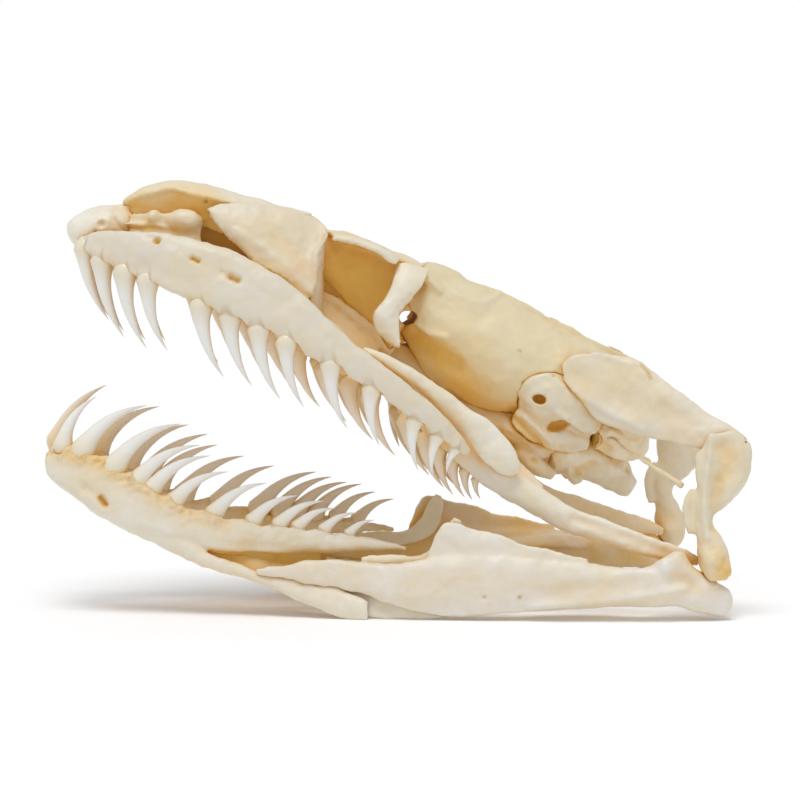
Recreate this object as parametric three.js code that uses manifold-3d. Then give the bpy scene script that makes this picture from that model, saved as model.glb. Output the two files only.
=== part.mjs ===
import * as THREE from "three";
import { mergeVertices } from "three/addons/utils/BufferGeometryUtils.js";
import Module from "manifold-3d";

const wasm = await Module();
wasm.setup();

// Driving sizes of the skull, in millimetres
const skullLength = 146.4;
const suture = 0.3;
const braincaseHalf = 11.8;
const snoutHalf = 6.2;
const mandibleTipSpread = 3.6;
const crestHeight = 5;
const plateThickness = 1.3;
const longestTooth = 15.4;
const toothRadius = 1.9;
const midHeight = 40.7;
const headLift = 2.4;
const sideGrowth = 0.00112;
const sideSweep = 0.104;
const sideDrop = 0.0385;
const centring = 1.512;
const seed = 41;

const size = skullLength / 146.4;

// Seeded random numbers, the same on every run
function randomFrom(start) {
  let state = start;
  return () => {
    state = (state * 1664525 + 1013904223) % 4294967296;
    return state / 4294967296;
  };
}

// A closed geometry as a solid that faces outwards
function solidFrom(geometry) {
  const scaled = geometry.clone();
  scaled.deleteAttribute("normal");
  scaled.deleteAttribute("uv");
  const merged = mergeVertices(scaled, 1e-4);
  const triVerts = new Uint32Array(merged.index.array);
  const vertProperties = new Float32Array(merged.attributes.position.array);
  const made = new wasm.Manifold(
    new wasm.Mesh({ numProp: 3, vertProperties, triVerts }),
  );
  if (made.volume() > 0) return made;
  for (let i = 0; i < triVerts.length; i += 3) {
    const first = triVerts[i];
    triVerts[i] = triVerts[i + 1];
    triVerts[i + 1] = first;
  }
  return new wasm.Manifold(
    new wasm.Mesh({ numProp: 3, vertProperties, triVerts }),
  );
}

// The head's taper: the further a point lies from the middle, the more it is set out, forward and down
function placed(point) {
  const wide = Math.abs(point[1]);
  const grown = 1 + sideGrowth * wide;
  const x = point[0] * grown - sideSweep * wide + centring;
  const z = midHeight + headLift + (point[2] - midHeight) * grown - sideDrop * wide;
  return new THREE.Vector3(x, point[1], z);
}

// A smooth curve through points, one point for each whole step
function curveOf(vectors) {
  return new THREE.CatmullRomCurve3(vectors, false, "catmullrom", 0.5);
}

function curveThrough(points) {
  return curveOf(points.map(placed));
}

// A rounded shaft along stations of x, y, z, half width, half height and roll in degrees
function shaft(stations, options = {}) {
  const { around = 10, steps = 1, grow = 0, boxy = 2 } = options;
  const rows = (stations.length - 1) * steps;
  const path = options.path || curveThrough(stations);
  const halves = curveOf(stations.map((s) => new THREE.Vector3(s[3], s[4], s[5] || 0)));
  const geometry = new THREE.CylinderGeometry(1, 1, 1, around, rows);
  const position = geometry.attributes.position;
  for (let i = 0; i < position.count; i++) {
    const t = Math.min(1, Math.max(0, 0.5 - position.getY(i)));
    const centre = path.getPoint(t);
    const tangent = path.getTangent(t);
    const half = halves.getPoint(t);
    const side = new THREE.Vector3(0, 1, 0).addScaledVector(tangent, -tangent.y);
    side.normalize();
    const over = new THREE.Vector3().crossVectors(tangent, side).normalize();
    const roll = THREE.MathUtils.degToRad(half.z);
    const c = position.getX(i);
    const s = position.getZ(i);
    const bend = (v) => Math.sign(v) * Math.pow(Math.abs(v), 2 / boxy);
    const a = bend(c) * (Math.max(half.x, 0.15) + grow);
    const b = bend(s) * (Math.max(half.y, 0.15) + grow);
    const point = centre
      .clone()
      .addScaledVector(side, a * Math.cos(roll) - b * Math.sin(roll))
      .addScaledVector(over, a * Math.sin(roll) + b * Math.cos(roll))
      .addScaledVector(tangent, (t < 0.001 ? -grow : 0) + (t > 0.999 ? grow : 0));
    position.setXYZ(i, point.x * size, point.y * size, point.z * size);
  }
  return solidFrom(geometry);
}

// A thin curved bone between two edges; the bulge lifts its middle along its own normal
function sheet(firstEdge, secondEdge, options = {}) {
  const { along = 10, across = 4, thick = plateThickness, bulge = 0, grow = 0 } = options;
  const first = curveThrough(firstEdge);
  const second = curveThrough(secondEdge);
  const place = (s, t) => first.getPoint(s).lerp(second.getPoint(s), t);
  const geometry = new THREE.BoxGeometry(1, 1, 1, along, across, 1);
  const position = geometry.attributes.position;
  for (let i = 0; i < position.count; i++) {
    const s = position.getX(i) + 0.5;
    const t = position.getY(i) + 0.5;
    const w = position.getZ(i) * 2;
    const ds = place(Math.min(s + 0.02, 1), t).sub(place(Math.max(s - 0.02, 0), t));
    const dt = place(s, 1).sub(place(s, 0));
    const normal = new THREE.Vector3().crossVectors(ds, dt).normalize();
    const rim = Math.min(1, 4 * Math.min(s, 1 - s)) * Math.min(1, 4 * Math.min(t, 1 - t));
    const half = (thick / 2) * (0.55 + 0.45 * rim) + grow;
    const lift = bulge * Math.sin(Math.PI * t);
    const point = place(s, t).addScaledVector(normal, lift + w * half);
    if (grow) {
      point.addScaledVector(ds.clone().normalize(), (s - 0.5) * 2 * grow);
      point.addScaledVector(dt.clone().normalize(), (t - 0.5) * 2 * grow);
    }
    position.setXYZ(i, point.x * size, point.y * size, point.z * size);
  }
  return solidFrom(geometry);
}

// A rounded lump, such as a condyle
function lump(centre, radii, options = {}) {
  const { grow = 0, turn = 0, fine = 8 } = options;
  const geometry = new THREE.SphereGeometry(1, fine, Math.round(fine * 0.7));
  geometry.scale(radii[0] + grow, radii[1] + grow, radii[2] + grow);
  geometry.rotateY(THREE.MathUtils.degToRad(turn));
  const middle = placed(centre);
  geometry.translate(middle.x, middle.y, middle.z);
  geometry.scale(size, size, size);
  return solidFrom(geometry);
}

// A recurved tooth: its root sinks into the jaw and its crown bows forwards before the tip
const toothRings = [
  [-0.15, 1.02],
  [0.06, 1],
  [0.42, 0.62],
  [1, 0.09],
];

function tooth(base, reach, radius, bow) {
  const stations = toothRings.map(([t, share]) => {
    const p = base.clone().addScaledVector(reach, t);
    const arch = t > 0 ? 4 * t * (1 - t) : 0;
    p.addScaledVector(bow, arch);
    const r = Math.max(radius * share, 0.17);
    return [p.x, p.y, p.z, r * 0.85, r, 0];
  });
  const path = curveOf(stations.map((s) => new THREE.Vector3(s[0], s[1], s[2])));
  return shaft(stations, { around: 5, path });
}

function joined(pieces) {
  return pieces.reduce((whole, piece) => whole.add(piece));
}

function without(whole, cutters) {
  return cutters.reduce((left, cutter) => left.subtract(cutter), whole);
}

// The largest closed surface of a solid
function largest(solid) {
  const bodies = solid.decompose();
  return bodies.reduce((best, body) => (body.volume() > best.volume() ? body : best));
}

function mirrored(solid) {
  return solid.mirror([0, 1, 0]);
}

// A row of teeth along an edge, with empty sockets left out
function toothRow(edge, row, random) {
  const path = curveThrough(edge);
  const teeth = [];
  for (let i = 0; i < row.places.length; i++) {
    const t = i / (row.places.length - 1);
    const long = THREE.MathUtils.lerp(row.longest, row.shortest, Math.pow(t, row.fall));
    const share = i === 0 ? row.first : 1;
    const jitter = 0.95 + 0.1 * random();
    const turn = Math.pow(t, row.leanFall);
    const lean = THREE.MathUtils.lerp(row.leanFront, row.leanBack, turn) + 3 * (random() - 0.5);
    const base = path.getPoint(row.places[i]);
    const angle = THREE.MathUtils.degToRad(lean);
    const length = long * share * jitter;
    const along = new THREE.Vector3(Math.sin(angle), row.splay, row.up * Math.cos(angle));
    const bow = new THREE.Vector3(-Math.cos(angle), 0, row.up * Math.sin(angle));
    const radius = toothRadius * row.stout * Math.pow(length / longestTooth, 0.7);
    const reach = along.multiplyScalar(length);
    teeth.push(tooth(base, reach, radius, bow.multiplyScalar(row.hook * length)));
  }
  return teeth;
}

// Snout: the toothless front block of the upper jaw and the bones round the nostril
function premaxilla(grow) {
  return joined([
    shaft(
      [
        [-68.4, 0, 75.4, 2, 1.6],
        [-67.3, 0, 75.9, 4.2, 3.2],
        [-65, 0, 76.6, snoutHalf - 1, 4],
        [-62, 0, 77.2, snoutHalf - 0.5, 4.5],
        [-59.4, 0, 77.2, snoutHalf - 0.9, 4.4],
        [-57, 0, 77.2, snoutHalf - 1.5, 3.8],
        [-55.2, 0, 77.2, snoutHalf - 3, 2.6],
      ],
      { around: 10, grow },
    ),
    shaft(
      [
        [-63, 0, 79.2, 2.4, 1.7],
        [-59, 0, 80.6, 1.9, 1.2],
        [-55, 0, 82.2, 1.2, 0.9],
      ],
      { around: 8, grow },
    ),
    shaft(
      [
        [-63, 0, 74.2, 2.8, 1.4],
        [-57, 0, 72.8, 2, 0.9],
        [-53.5, 0, 72.1, 1.2, 0.6],
      ],
      { around: 8, grow },
    ),
  ]);
}

function nasal(grow) {
  return joined([
    sheet(
      [
        [-57.2, -0.15, 82.6],
        [-53, -0.15, 85.4],
        [-47, -0.15, 86.6],
        [-40.8, -0.15, 85.9],
        [-33, -0.15, 83.6],
        [-25, -0.15, 81.2],
        [-18.5, -0.15, 79.4],
      ],
      [
        [-57.6, -1.5, 82],
        [-53.6, -3, 84],
        [-47, -4.2, 84.9],
        [-40.8, -5.6, 83.8],
        [-34.6, -6.4, 82],
        [-25, -4.8, 80.4],
        [-18.5, -2.6, 79.2],
      ],
      { along: 7, across: 3, bulge: -0.4, thick: 1.2, grow },
    ),
    sheet(
      [
        [-57, -1.2, 82],
        [-53.4, -2.4, 83.8],
        [-47, -3.4, 84.6],
        [-41, -4.8, 83.6],
        [-36, -5.8, 82],
      ],
      [
        [-56.6, -1.6, 78.8],
        [-53, -2.2, 79],
        [-47, -2.6, 79],
        [-41, -3.4, 77.6],
        [-36, -4.4, 76],
      ],
      { along: 6, across: 2, bulge: 0.5, thick: 1.2, grow },
    ),
    sheet(
      [
        [-55, -0.75, 82.6],
        [-45, -0.75, 85],
        [-32, -0.75, 82.6],
        [-20, -0.75, 79.2],
      ],
      [
        [-53, -0.75, 74.6],
        [-45, -0.75, 70],
        [-32, -0.75, 65],
        [-20, -0.75, 61.6],
      ],
      { along: 6, across: 1, thick: 1, grow },
    ),
  ]);
}

function septomaxilla(grow) {
  return joined([
    sheet(
      [
        [-57.3, -2.6, 79.6],
        [-53, -4.6, 80.2],
        [-49, -5.4, 80.4],
        [-43.5, -6, 80.4],
        [-40.5, -6, 78],
      ],
      [
        [-57.3, -6.2, 74.6],
        [-53, -7.6, 73.6],
        [-49, -8.2, 72.8],
        [-43.5, -8.6, 72.4],
        [-40.5, -8.2, 73],
      ],
      { along: 5, across: 3, bulge: 1, thick: 1.1, grow },
    ),
    sheet(
      [
        [-57, -1.6, 78.6],
        [-50, -2.2, 79],
        [-42, -2.4, 78.4],
      ],
      [
        [-57, -5, 78],
        [-50, -6.4, 77.6],
        [-42, -6.8, 77],
      ],
      { along: 5, across: 2, thick: 1, grow },
    ),
    lump([-44.4, -5.4, 78.8], [4, 2.4, 2.6], { grow }),
    lump([-50.6, -4.8, 79.2], [1.9, 1.8, 1.9], { grow }),
  ]);
}

function vomer(grow) {
  return joined([
    shaft(
      [
        [-52.8, -1.4, 71.8, 0.8, 0.8],
        [-48, -2.4, 72.2, 1.9, 1.8],
        [-42.5, -2.8, 72.4, 2.2, 2.2],
        [-37, -2.2, 71.2, 1.4, 1.5],
        [-30, -1.5, 69.6, 0.7, 0.9],
      ],
      { around: 8, grow },
    ),
  ]);
}

// Eye region: the bones in front of, above and behind the orbit
function prefrontal(grow) {
  return joined([
    sheet(
      [
        [-39.8, -6.9, 81],
        [-35, -6.9, 82.2],
        [-29, -6.4, 82],
        [-23.5, -5.6, 81.2],
        [-17.6, -4.6, 79.4],
        [-14.9, -6.4, 77.2],
      ],
      [
        [-39, -8.2, 79.6],
        [-33.8, -10.6, 74.4],
        [-29.6, -12.8, 70.6],
        [-23.8, -14.2, 67.4],
        [-19.4, -14.8, 62.8],
        [-17.6, -13.6, 63.6],
      ],
      { along: 7, across: 3, bulge: -0.5, thick: 1.3, grow },
    ),
    sheet(
      [
        [-17.6, -4.6, 77.6],
        [-16.6, -4.4, 72],
        [-16.2, -4.8, 66],
        [-16.6, -7, 58.6],
      ],
      [
        [-14.6, -8.6, 76.4],
        [-16.6, -11, 72],
        [-17.6, -12.6, 67],
        [-17.8, -13.4, 60.4],
      ],
      { along: 6, across: 3, bulge: -0.8, thick: 1.3, grow },
    ),
  ]);
}

function frontal(grow) {
  return joined([
    shaft(
      [
        [-17, -2.2, 72.2, 1.8, 4.6],
        [-14, -2.4, 71, 2.2, 5],
        [-9, -2.6, 68, 2.4, 6.6],
        [-3, -3, 64, 2.8, 8.4],
        [3.2, -4.2, 60, 3.8, 9.8],
      ],
      { around: 10, boxy: 3, grow },
    ),
    sheet(
      [
        [-18, -1.5, 70],
        [-9, -1.8, 66],
        [1, -2.2, 60],
      ],
      [
        [-18, -1, 60.6],
        [-9, -1, 55.6],
        [1, -1.6, 50],
      ],
      { along: 4, across: 2, thick: 1.1, grow },
    ),
    sheet(
      [
        [-16.4, -0.3, 76.8],
        [-12, -0.3, 75.4],
        [-5, -0.3, 73],
        [3.6, -0.3, 69.4],
      ],
      [
        [-14, -7.2, 76.2],
        [-11, -8.9, 74.8],
        [-5, -9.2, 72.8],
        [3.4, -8.8, 69],
      ],
      { along: 6, across: 3, bulge: 0.25, thick: 1.6, grow },
    ),
  ]);
}

function supraorbital(grow) {
  return sheet(
    [
      [-13.4, -8.8, 75.8],
      [-10, -9.6, 75.2],
      [-6, -9.8, 74],
      [-2.4, -9.8, 72.4],
      [0.2, -9.6, 70.9],
    ],
    [
      [-13.7, -10.4, 74.9],
      [-10, -12.3, 74.5],
      [-6, -12.8, 73.2],
      [-2.9, -12.4, 71.4],
      [-0.8, -11.6, 69.9],
    ],
    { along: 7, across: 2, bulge: -0.3, thick: 1.4, grow },
  );
}

function postorbital(grow) {
  return sheet(
    [
      [-0.4, -9.6, 70.2],
      [-1.3, -11.4, 67.2],
      [-2.8, -12.8, 63.6],
      [-4.8, -13.6, 60.9],
      [-5.2, -14, 58.9],
      [-4.6, -14.2, 56.7],
      [-3.2, -14.2, 55],
      [-1.2, -14.1, 53.4],
    ],
    [
      [6, -8.8, 68.8],
      [4.8, -10.8, 66.3],
      [2.6, -12, 63.5],
      [0.8, -13, 60.8],
      [0.2, -13.6, 58.4],
      [0.2, -13.9, 56.2],
      [0.3, -14, 54.4],
      [0.1, -14, 53],
    ],
    { along: 9, across: 3, bulge: 0.35, thick: 1.6, grow },
  );
}

// Braincase: crested roof, side walls, ear region, rear and underside
function parietal(grow) {
  return joined([
    shaft(
      [
        [0.8, 0, 63, 6.6, 5.2],
        [4.2, 0, 61.4, 9.4, 7.8],
        [9.5, 0, 57.2, braincaseHalf - 1, 10.4],
        [14.5, 0, 52.4, braincaseHalf - 0.2, 12.2],
        [20.5, 0, 49, braincaseHalf, 12.4],
        [27, 0, 47.2, braincaseHalf, 11],
        [33.5, 0, 46, braincaseHalf - 0.2, 9.2],
        [39, 0, 44.8, braincaseHalf - 1.2, 7.6],
        [43, 0, 43.8, braincaseHalf - 3, 6.2],
      ],
      { around: 12, grow },
    ),
    sheet(
      [
        [4.2, 0, 69.6],
        [11, 0, 67],
        [21, 0, 63.6],
        [33, 0, 57.6],
        [42, 0, 52.9],
        [50.8, 0, 48.6],
      ],
      [
        [6, 0, 60],
        [12, 0, 62 - crestHeight],
        [22, 0, 57 - crestHeight],
        [33, 0, 52 - crestHeight],
        [42, 0, 49 - crestHeight],
        [50, 0, 46.6],
      ],
      { along: 7, across: 2, thick: 2.2, grow },
    ),
    sheet(
      [
        [3.4, -8.8, 68.2],
        [5, -4.6, 69],
        [5.2, 0, 69.4],
        [5, 4.6, 69],
        [3.4, 8.8, 68.2],
      ],
      [
        [8.6, -8.8, 63.6],
        [11, -4.6, 64.4],
        [14, 0, 65],
        [11, 4.6, 64.4],
        [8.6, 8.8, 63.6],
      ],
      { along: 6, across: 2, thick: 3, bulge: 0.2, grow },
    ),
  ]);
}

function prootic(grow) {
  return joined([
    shaft(
      [
        [24.6, -8.4, 42.4, 1.6, 2.6],
        [27.2, -8.6, 42.6, 4, 5],
        [31.4, -8.8, 42.6, 4.4, 5.4],
        [35.6, -9, 40.6, 4.4, 4.6],
        [39.6, -9.2, 37.6, 3.6, 3],
        [42.2, -9, 36, 2, 1.8],
      ],
      { around: 10, boxy: 2.6, grow },
    ),
    shaft(
      [
        [23.6, -8.2, 38.4, 1.6, 1.6],
        [27, -8.6, 36.8, 2.4, 3],
        [31, -8.8, 34.6, 2.4, 3.2],
        [35.4, -8.8, 33.4, 2.2, 2.6],
        [39.4, -8.4, 32.8, 1.2, 1.6],
      ],
      { around: 8, boxy: 2.6, grow },
    ),
  ]);
}

function supratemporal(grow) {
  return sheet(
    [
      [33.4, -12.2, 49.2],
      [36.4, -12.2, 51.4],
      [42.5, -12.4, 51.6],
      [48.4, -14, 50.6],
      [53.6, -16.6, 46.9],
      [61.4, -20, 41.2],
      [67, -22.2, 37.7],
      [70.4, -23.4, 35.2],
    ],
    [
      [34.2, -13, 46],
      [36.2, -13.4, 43],
      [39.6, -14.2, 39.2],
      [43.6, -15.4, 36.5],
      [51.6, -18.4, 34.7],
      [59.4, -21.4, 33.2],
      [64.8, -23.2, 32.8],
      [69.4, -24.2, 32.2],
    ],
    { along: 8, across: 3, bulge: -0.4, thick: 2, grow },
  );
}

function supraoccipital(grow) {
  return joined([
    shaft(
      [
        [41.5, 0, 43, 7.4, 5.4],
        [45.5, 0, 41.4, 7.6, 5.6],
        [49.4, 0, 39.4, 5.6, 4.4],
        [51, 0, 38.6, 3, 2.4],
      ],
      { around: 10, grow },
    ),
    sheet(
      [
        [43, 0, 48],
        [47, 0, 46.4],
        [51.6, 0, 44.4],
        [53.4, 0, 42.4],
      ],
      [
        [43, 0, 43],
        [47, 0, 41],
        [51, 0, 39],
        [52, 0, 38.4],
      ],
      { along: 5, across: 1, thick: 2, grow },
    ),
  ]);
}

function exoccipital(grow) {
  return joined([
    shaft(
      [
        [40.4, -8.6, 35, 2.6, 3.4],
        [44, -8.4, 34.6, 3.8, 4.6],
        [47.4, -7.2, 33, 3.8, 4.6],
        [50.2, -5, 30.6, 2.6, 3],
      ],
      { around: 10, grow },
    ),
    shaft(
      [
        [44.6, -9, 36.4, 2, 2.6],
        [48.6, -12.6, 36.6, 1.8, 2.2],
        [52.4, -15.6, 36.4, 1, 1.4],
      ],
      { around: 8, grow },
    ),
  ]);
}

function basioccipital(grow) {
  return joined([
    shaft(
      [
        [31.2, 0, 29, 7.4, 4.4],
        [36, 0, 29.8, 8.4, 6],
        [41, 0, 28.4, 6.8, 5.2],
        [44.8, 0, 25.2, 4.2, 4],
        [47.4, 0, 23, 3.4, 3.2],
        [49.2, 0, 21.6, 2.2, 2.2],
      ],
      { around: 10, grow },
    ),
    shaft(
      [
        [36, -4.6, 27.8, 1.8, 2],
        [36.4, -5.4, 25.4, 1.8, 2],
        [37, -5.6, 23.4, 1.1, 1.1],
      ],
      { around: 7, grow },
    ),
    shaft(
      [
        [36, 4.6, 27.8, 1.8, 2],
        [36.4, 5.4, 25.4, 1.8, 2],
        [37, 5.6, 23.4, 1.1, 1.1],
      ],
      { around: 7, grow },
    ),
  ]);
}

function parasphenoid(grow) {
  return joined([
    shaft(
      [
        [-18, 0, 61.6, 1, 1],
        [-8, 0, 55, 2.2, 2.2],
        [0, 0, 49.4, 3, 3.4],
        [6, 0, 45.2, 4, 4],
        [13, 0, 40.2, 6, 4.4],
        [20, 0, 36.2, 7.8, 5],
        [27, 0, 33.4, 8.6, 5.6],
        [32.4, 0, 31.4, 8, 5],
      ],
      { around: 10, grow },
    ),
    shaft(
      [
        [24, -6, 31.4, 1.8, 1.8],
        [28.4, -7.4, 27.8, 1.8, 2],
        [32.2, -7, 25.2, 1.1, 1.1],
      ],
      { around: 7, grow },
    ),
    shaft(
      [
        [24, 6, 31.4, 1.8, 1.8],
        [28.4, 7.4, 27.8, 1.8, 2],
        [32.2, 7, 25.2, 1.1, 1.1],
      ],
      { around: 7, grow },
    ),
  ]);
}

// Jaw suspension: the upright quadrate and the ear rod
function quadrate(grow) {
  return joined([
    shaft(
      [
        [64.4, -23.4, 36.4, 1.6, 3.2],
        [65.2, -23.6, 33.6, 2.1, 5.9],
        [65.2, -24, 30.2, 2.1, 6.1],
        [63.8, -24.4, 26, 2, 4.9],
        [61.6, -25, 21.8, 1.9, 2.6],
        [61.3, -25.7, 18, 2, 2.1],
        [62.2, -26.6, 14.6, 2.6, 2.8],
        [62.9, -27.1, 12, 4, 3.2],
        [63.4, -27.2, 9.6, 3.8, 3.2],
        [63.6, -27.2, 7.6, 3, 2.4],
      ],
      { around: 10, grow },
    ),
    shaft(
      [
        [58.6, -24.2, 26, 0.5, 0.6],
        [57.9, -24.5, 23, 0.6, 1.1],
        [58, -24.8, 20, 0.6, 1],
        [58.6, -25.2, 16.8, 0.5, 0.6],
      ],
      { around: 6, grow },
    ),
    sheet(
      [
        [61, -24.8, 28],
        [60.6, -25.2, 22],
        [60.8, -25.8, 16],
      ],
      [
        [58.8, -24.2, 25.6],
        [58.2, -24.6, 21.4],
        [58.8, -25.2, 17],
      ],
      { along: 3, across: 1, thick: 0.9, grow },
    ),
  ]);
}

function stapes(grow) {
  return shaft(
    [
      [44.8, -13.2, 33, 0.45, 0.45],
      [48.8, -16, 30.8, 0.45, 0.45],
      [53, -18.8, 28.2, 0.6, 0.6],
      [57.2, -21.2, 25.6, 0.75, 0.75],
    ],
    { around: 7, steps: 1, grow },
  );
}

// Upper jaw: the long toothed maxilla and the strut behind it
const maxillaLower = [
  [-65, -5.6, 73.6],
  [-57, -10.6, 69.2],
  [-49, -14.2, 66.6],
  [-41.4, -16.9, 63],
  [-32.4, -19.2, 60],
  [-24.7, -20.7, 56.3],
  [-17.7, -21.6, 53.2],
  [-8, -22.4, 47.8],
  [-0.5, -22.5, 42.4],
  [7.3, -21.8, 36.5],
  [14, -20.5, 32],
];

function maxilla(grow) {
  return joined([
    shaft(
      [
        [-65.6, -5.8, 74.6, 0.6, 0.7, 0],
        [-61.6, -8.2, 74, 1.5, 3, -6],
        [-56.4, -11, 73.2, 1.7, 4.2, -8],
        [-48.6, -13.9, 71.8, 1.7, 5.3, -10],
        [-41, -16.3, 69.6, 1.8, 6.2, -12],
        [-33, -18.3, 66.6, 2, 6.3, -12],
        [-25.2, -19.6, 62.4, 2.1, 5.8, -10],
        [-18.4, -20.6, 57.7, 2.2, 4.6, -6],
        [-10, -21.7, 52.1, 2.2, 3.3, -2],
        [-1, -22.2, 46, 2.1, 2.7, 0],
        [7.3, -21.7, 39.2, 1.9, 2.3, 0],
        [12.2, -20.9, 34.6, 1.3, 1.4, 0],
        [14.2, -20.5, 32.6, 0.5, 0.6, 0],
      ],
      { around: 8, boxy: 2.5, grow },
    ),
    sheet(
      [
        [-18, -20, 58.4],
        [-13.4, -20.6, 55],
        [-8.6, -21, 51.6],
      ],
      [
        [-16.4, -14.4, 60.4],
        [-13, -13.4, 58],
        [-9.6, -15, 54.6],
      ],
      { along: 4, across: 2, thick: 1.8, grow },
    ),
  ]);
}

const maxillaRow = {
  places: [0.009, 0.058, 0.12, 0.181, 0.323, 0.388, 0.46, 0.537, 0.646, 0.735, 0.848, 0.907, 0.962],
  longest: longestTooth + 0.3,
  shortest: 5.2,
  first: 1,
  fall: 3.2,
  leanFront: 15.5,
  leanBack: -20,
  leanFall: 6,
  hook: 0.07,
  splay: 0.02,
  stout: 1,
  up: -1,
};

function ectopterygoid(grow) {
  return shaft(
    [
      [-7.2, -20, 53.6, 0.7, 0.6, 0],
      [-4.4, -19.4, 51.8, 1.4, 1.3, 0],
      [1.4, -18.9, 48.6, 1.6, 1.6, 0],
      [8, -18.2, 43.4, 1.5, 2, 0],
      [14.8, -17.6, 37.8, 1.3, 3, 0],
      [20, -17, 32.2, 1.2, 3.4, 0],
      [23, -16.8, 28.9, 1, 2.2, 0],
      [24.2, -16.8, 27.6, 0.6, 1.1, 0],
    ],
    { around: 10, boxy: 2.3, grow },
  );
}

// Palate: two toothed bones in a line behind the snout
const palatineLower = [
  [-39, -7.2, 64.4],
  [-30, -8.8, 59.2],
  [-21, -9.4, 52.6],
  [-12, -9.8, 46.8],
  [-4, -10, 41.8],
];

function palatine(grow) {
  return joined([
    shaft(
      [
        [-41, -6.8, 66.4, 0.7, 0.9],
        [-37, -7.4, 65.6, 1.5, 2],
        [-29.6, -8.6, 61.8, 1.7, 2.6],
        [-21, -9.2, 56.4, 1.7, 3.1],
        [-12, -9.6, 50.8, 1.7, 3.3],
        [-4.4, -9.8, 45.6, 1.5, 3],
        [-1.6, -9.8, 43.6, 0.7, 1.4],
      ],
      { around: 8, grow },
    ),
    sheet(
      [
        [-27, -9.6, 62],
        [-21, -10, 58.6],
        [-15, -10.2, 55],
      ],
      [
        [-22.6, -12.6, 62.4],
        [-19, -13.2, 60],
        [-15.4, -12.6, 57],
      ],
      { along: 3, across: 2, thick: 1.3, grow },
    ),
    sheet(
      [
        [-32, -7.6, 64.6],
        [-23, -8.2, 60],
        [-13, -8.8, 54],
        [-4, -9, 48.4],
      ],
      [
        [-28, -2.6, 67.6],
        [-20.6, -3, 64.6],
        [-12.4, -4, 60.4],
        [-4.6, -4.8, 54],
      ],
      { along: 4, across: 2, thick: 1.2, grow },
    ),
    shaft(
      [
        [-19, -3.4, 64.2, 0.7, 0.7],
        [-14.4, -4, 62, 1, 1.1],
        [-9.6, -4.6, 58.9, 1.1, 1.5],
        [-5, -5, 55, 1.1, 1.7],
        [-1.4, -5.4, 51.6, 0.9, 1.3],
      ],
      { around: 8, grow },
    ),
  ]);
}

const palatineRow = {
  places: [0.04, 0.2, 0.36, 0.51, 0.66, 0.8, 0.94],
  longest: 11,
  shortest: 13,
  first: 1,
  fall: 1,
  leanFront: 20,
  leanBack: 22,
  leanFall: 1,
  hook: 0.08,
  splay: 0,
  stout: 1,
  up: -1,
};

const pterygoidLower = [
  [0.4, -10.2, 39],
  [5.4, -10.8, 34.4],
  [10.8, -11.6, 29.8],
  [16, -12.4, 25.8],
];

function pterygoid(grow) {
  return joined([
    shaft(
      [
        [-0.2, -9.9, 42.4, 0.7, 1.2],
        [2.8, -10.2, 40.4, 1.6, 3],
        [8.6, -11, 35.8, 1.8, 3.6],
        [15, -12, 31, 2, 3.6],
        [21.4, -13.4, 26, 2, 3.3],
        [28, -15, 21.8, 1.7, 3],
        [35.4, -17.4, 18, 1.4, 2.8],
        [43.4, -20, 15.6, 1.2, 2.4],
        [51, -22, 13.4, 1.1, 2],
        [57.4, -22.9, 11.8, 1, 1.6],
        [60.6, -23, 10.8, 0.6, 0.9],
      ],
      { around: 8, grow },
    ),
    sheet(
      [
        [6, -10.4, 41.4],
        [14, -11, 34.6],
        [22, -12.4, 27.6],
        [30, -14.6, 22.6],
      ],
      [
        [10, -7.8, 43.4],
        [16, -7.4, 38],
        [23, -8.6, 31],
        [30, -12.6, 24.4],
      ],
      { along: 6, across: 2, thick: 1.3, grow },
    ),
    shaft(
      [
        [16, -12.4, 30.4, 1.2, 1.6],
        [20.4, -14.4, 28, 1.3, 1.6],
        [24.6, -15.2, 25, 1, 1.4],
      ],
      { around: 7, grow },
    ),
  ]);
}

const pterygoidRow = {
  places: [0.08, 0.32, 0.5, 0.68, 0.84, 0.98],
  longest: 12.6,
  shortest: 4.4,
  first: 1,
  fall: 1.1,
  leanFront: 22,
  leanBack: 14,
  leanFall: 1,
  hook: 0.08,
  splay: 0,
  stout: 1,
  up: -1,
};

// Lower jaw: toothed front, deep rear beam, the leaf-shaped coronoid and two inner splints
const dentaryUpper = [
  [-71.6, -mandibleTipSpread, 32.4],
  [-66.2, -5.4, 31.8],
  [-59.4, -7.4, 28.9],
  [-54.1, -8.5, 25.5],
  [-49.9, -9.1, 22.9],
  [-42.6, -10, 20.1],
  [-32.8, -11, 17.9],
  [-23, -12, 16.6],
  [-12.9, -13, 15.5],
  [-4.3, -14, 13.9],
];

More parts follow.
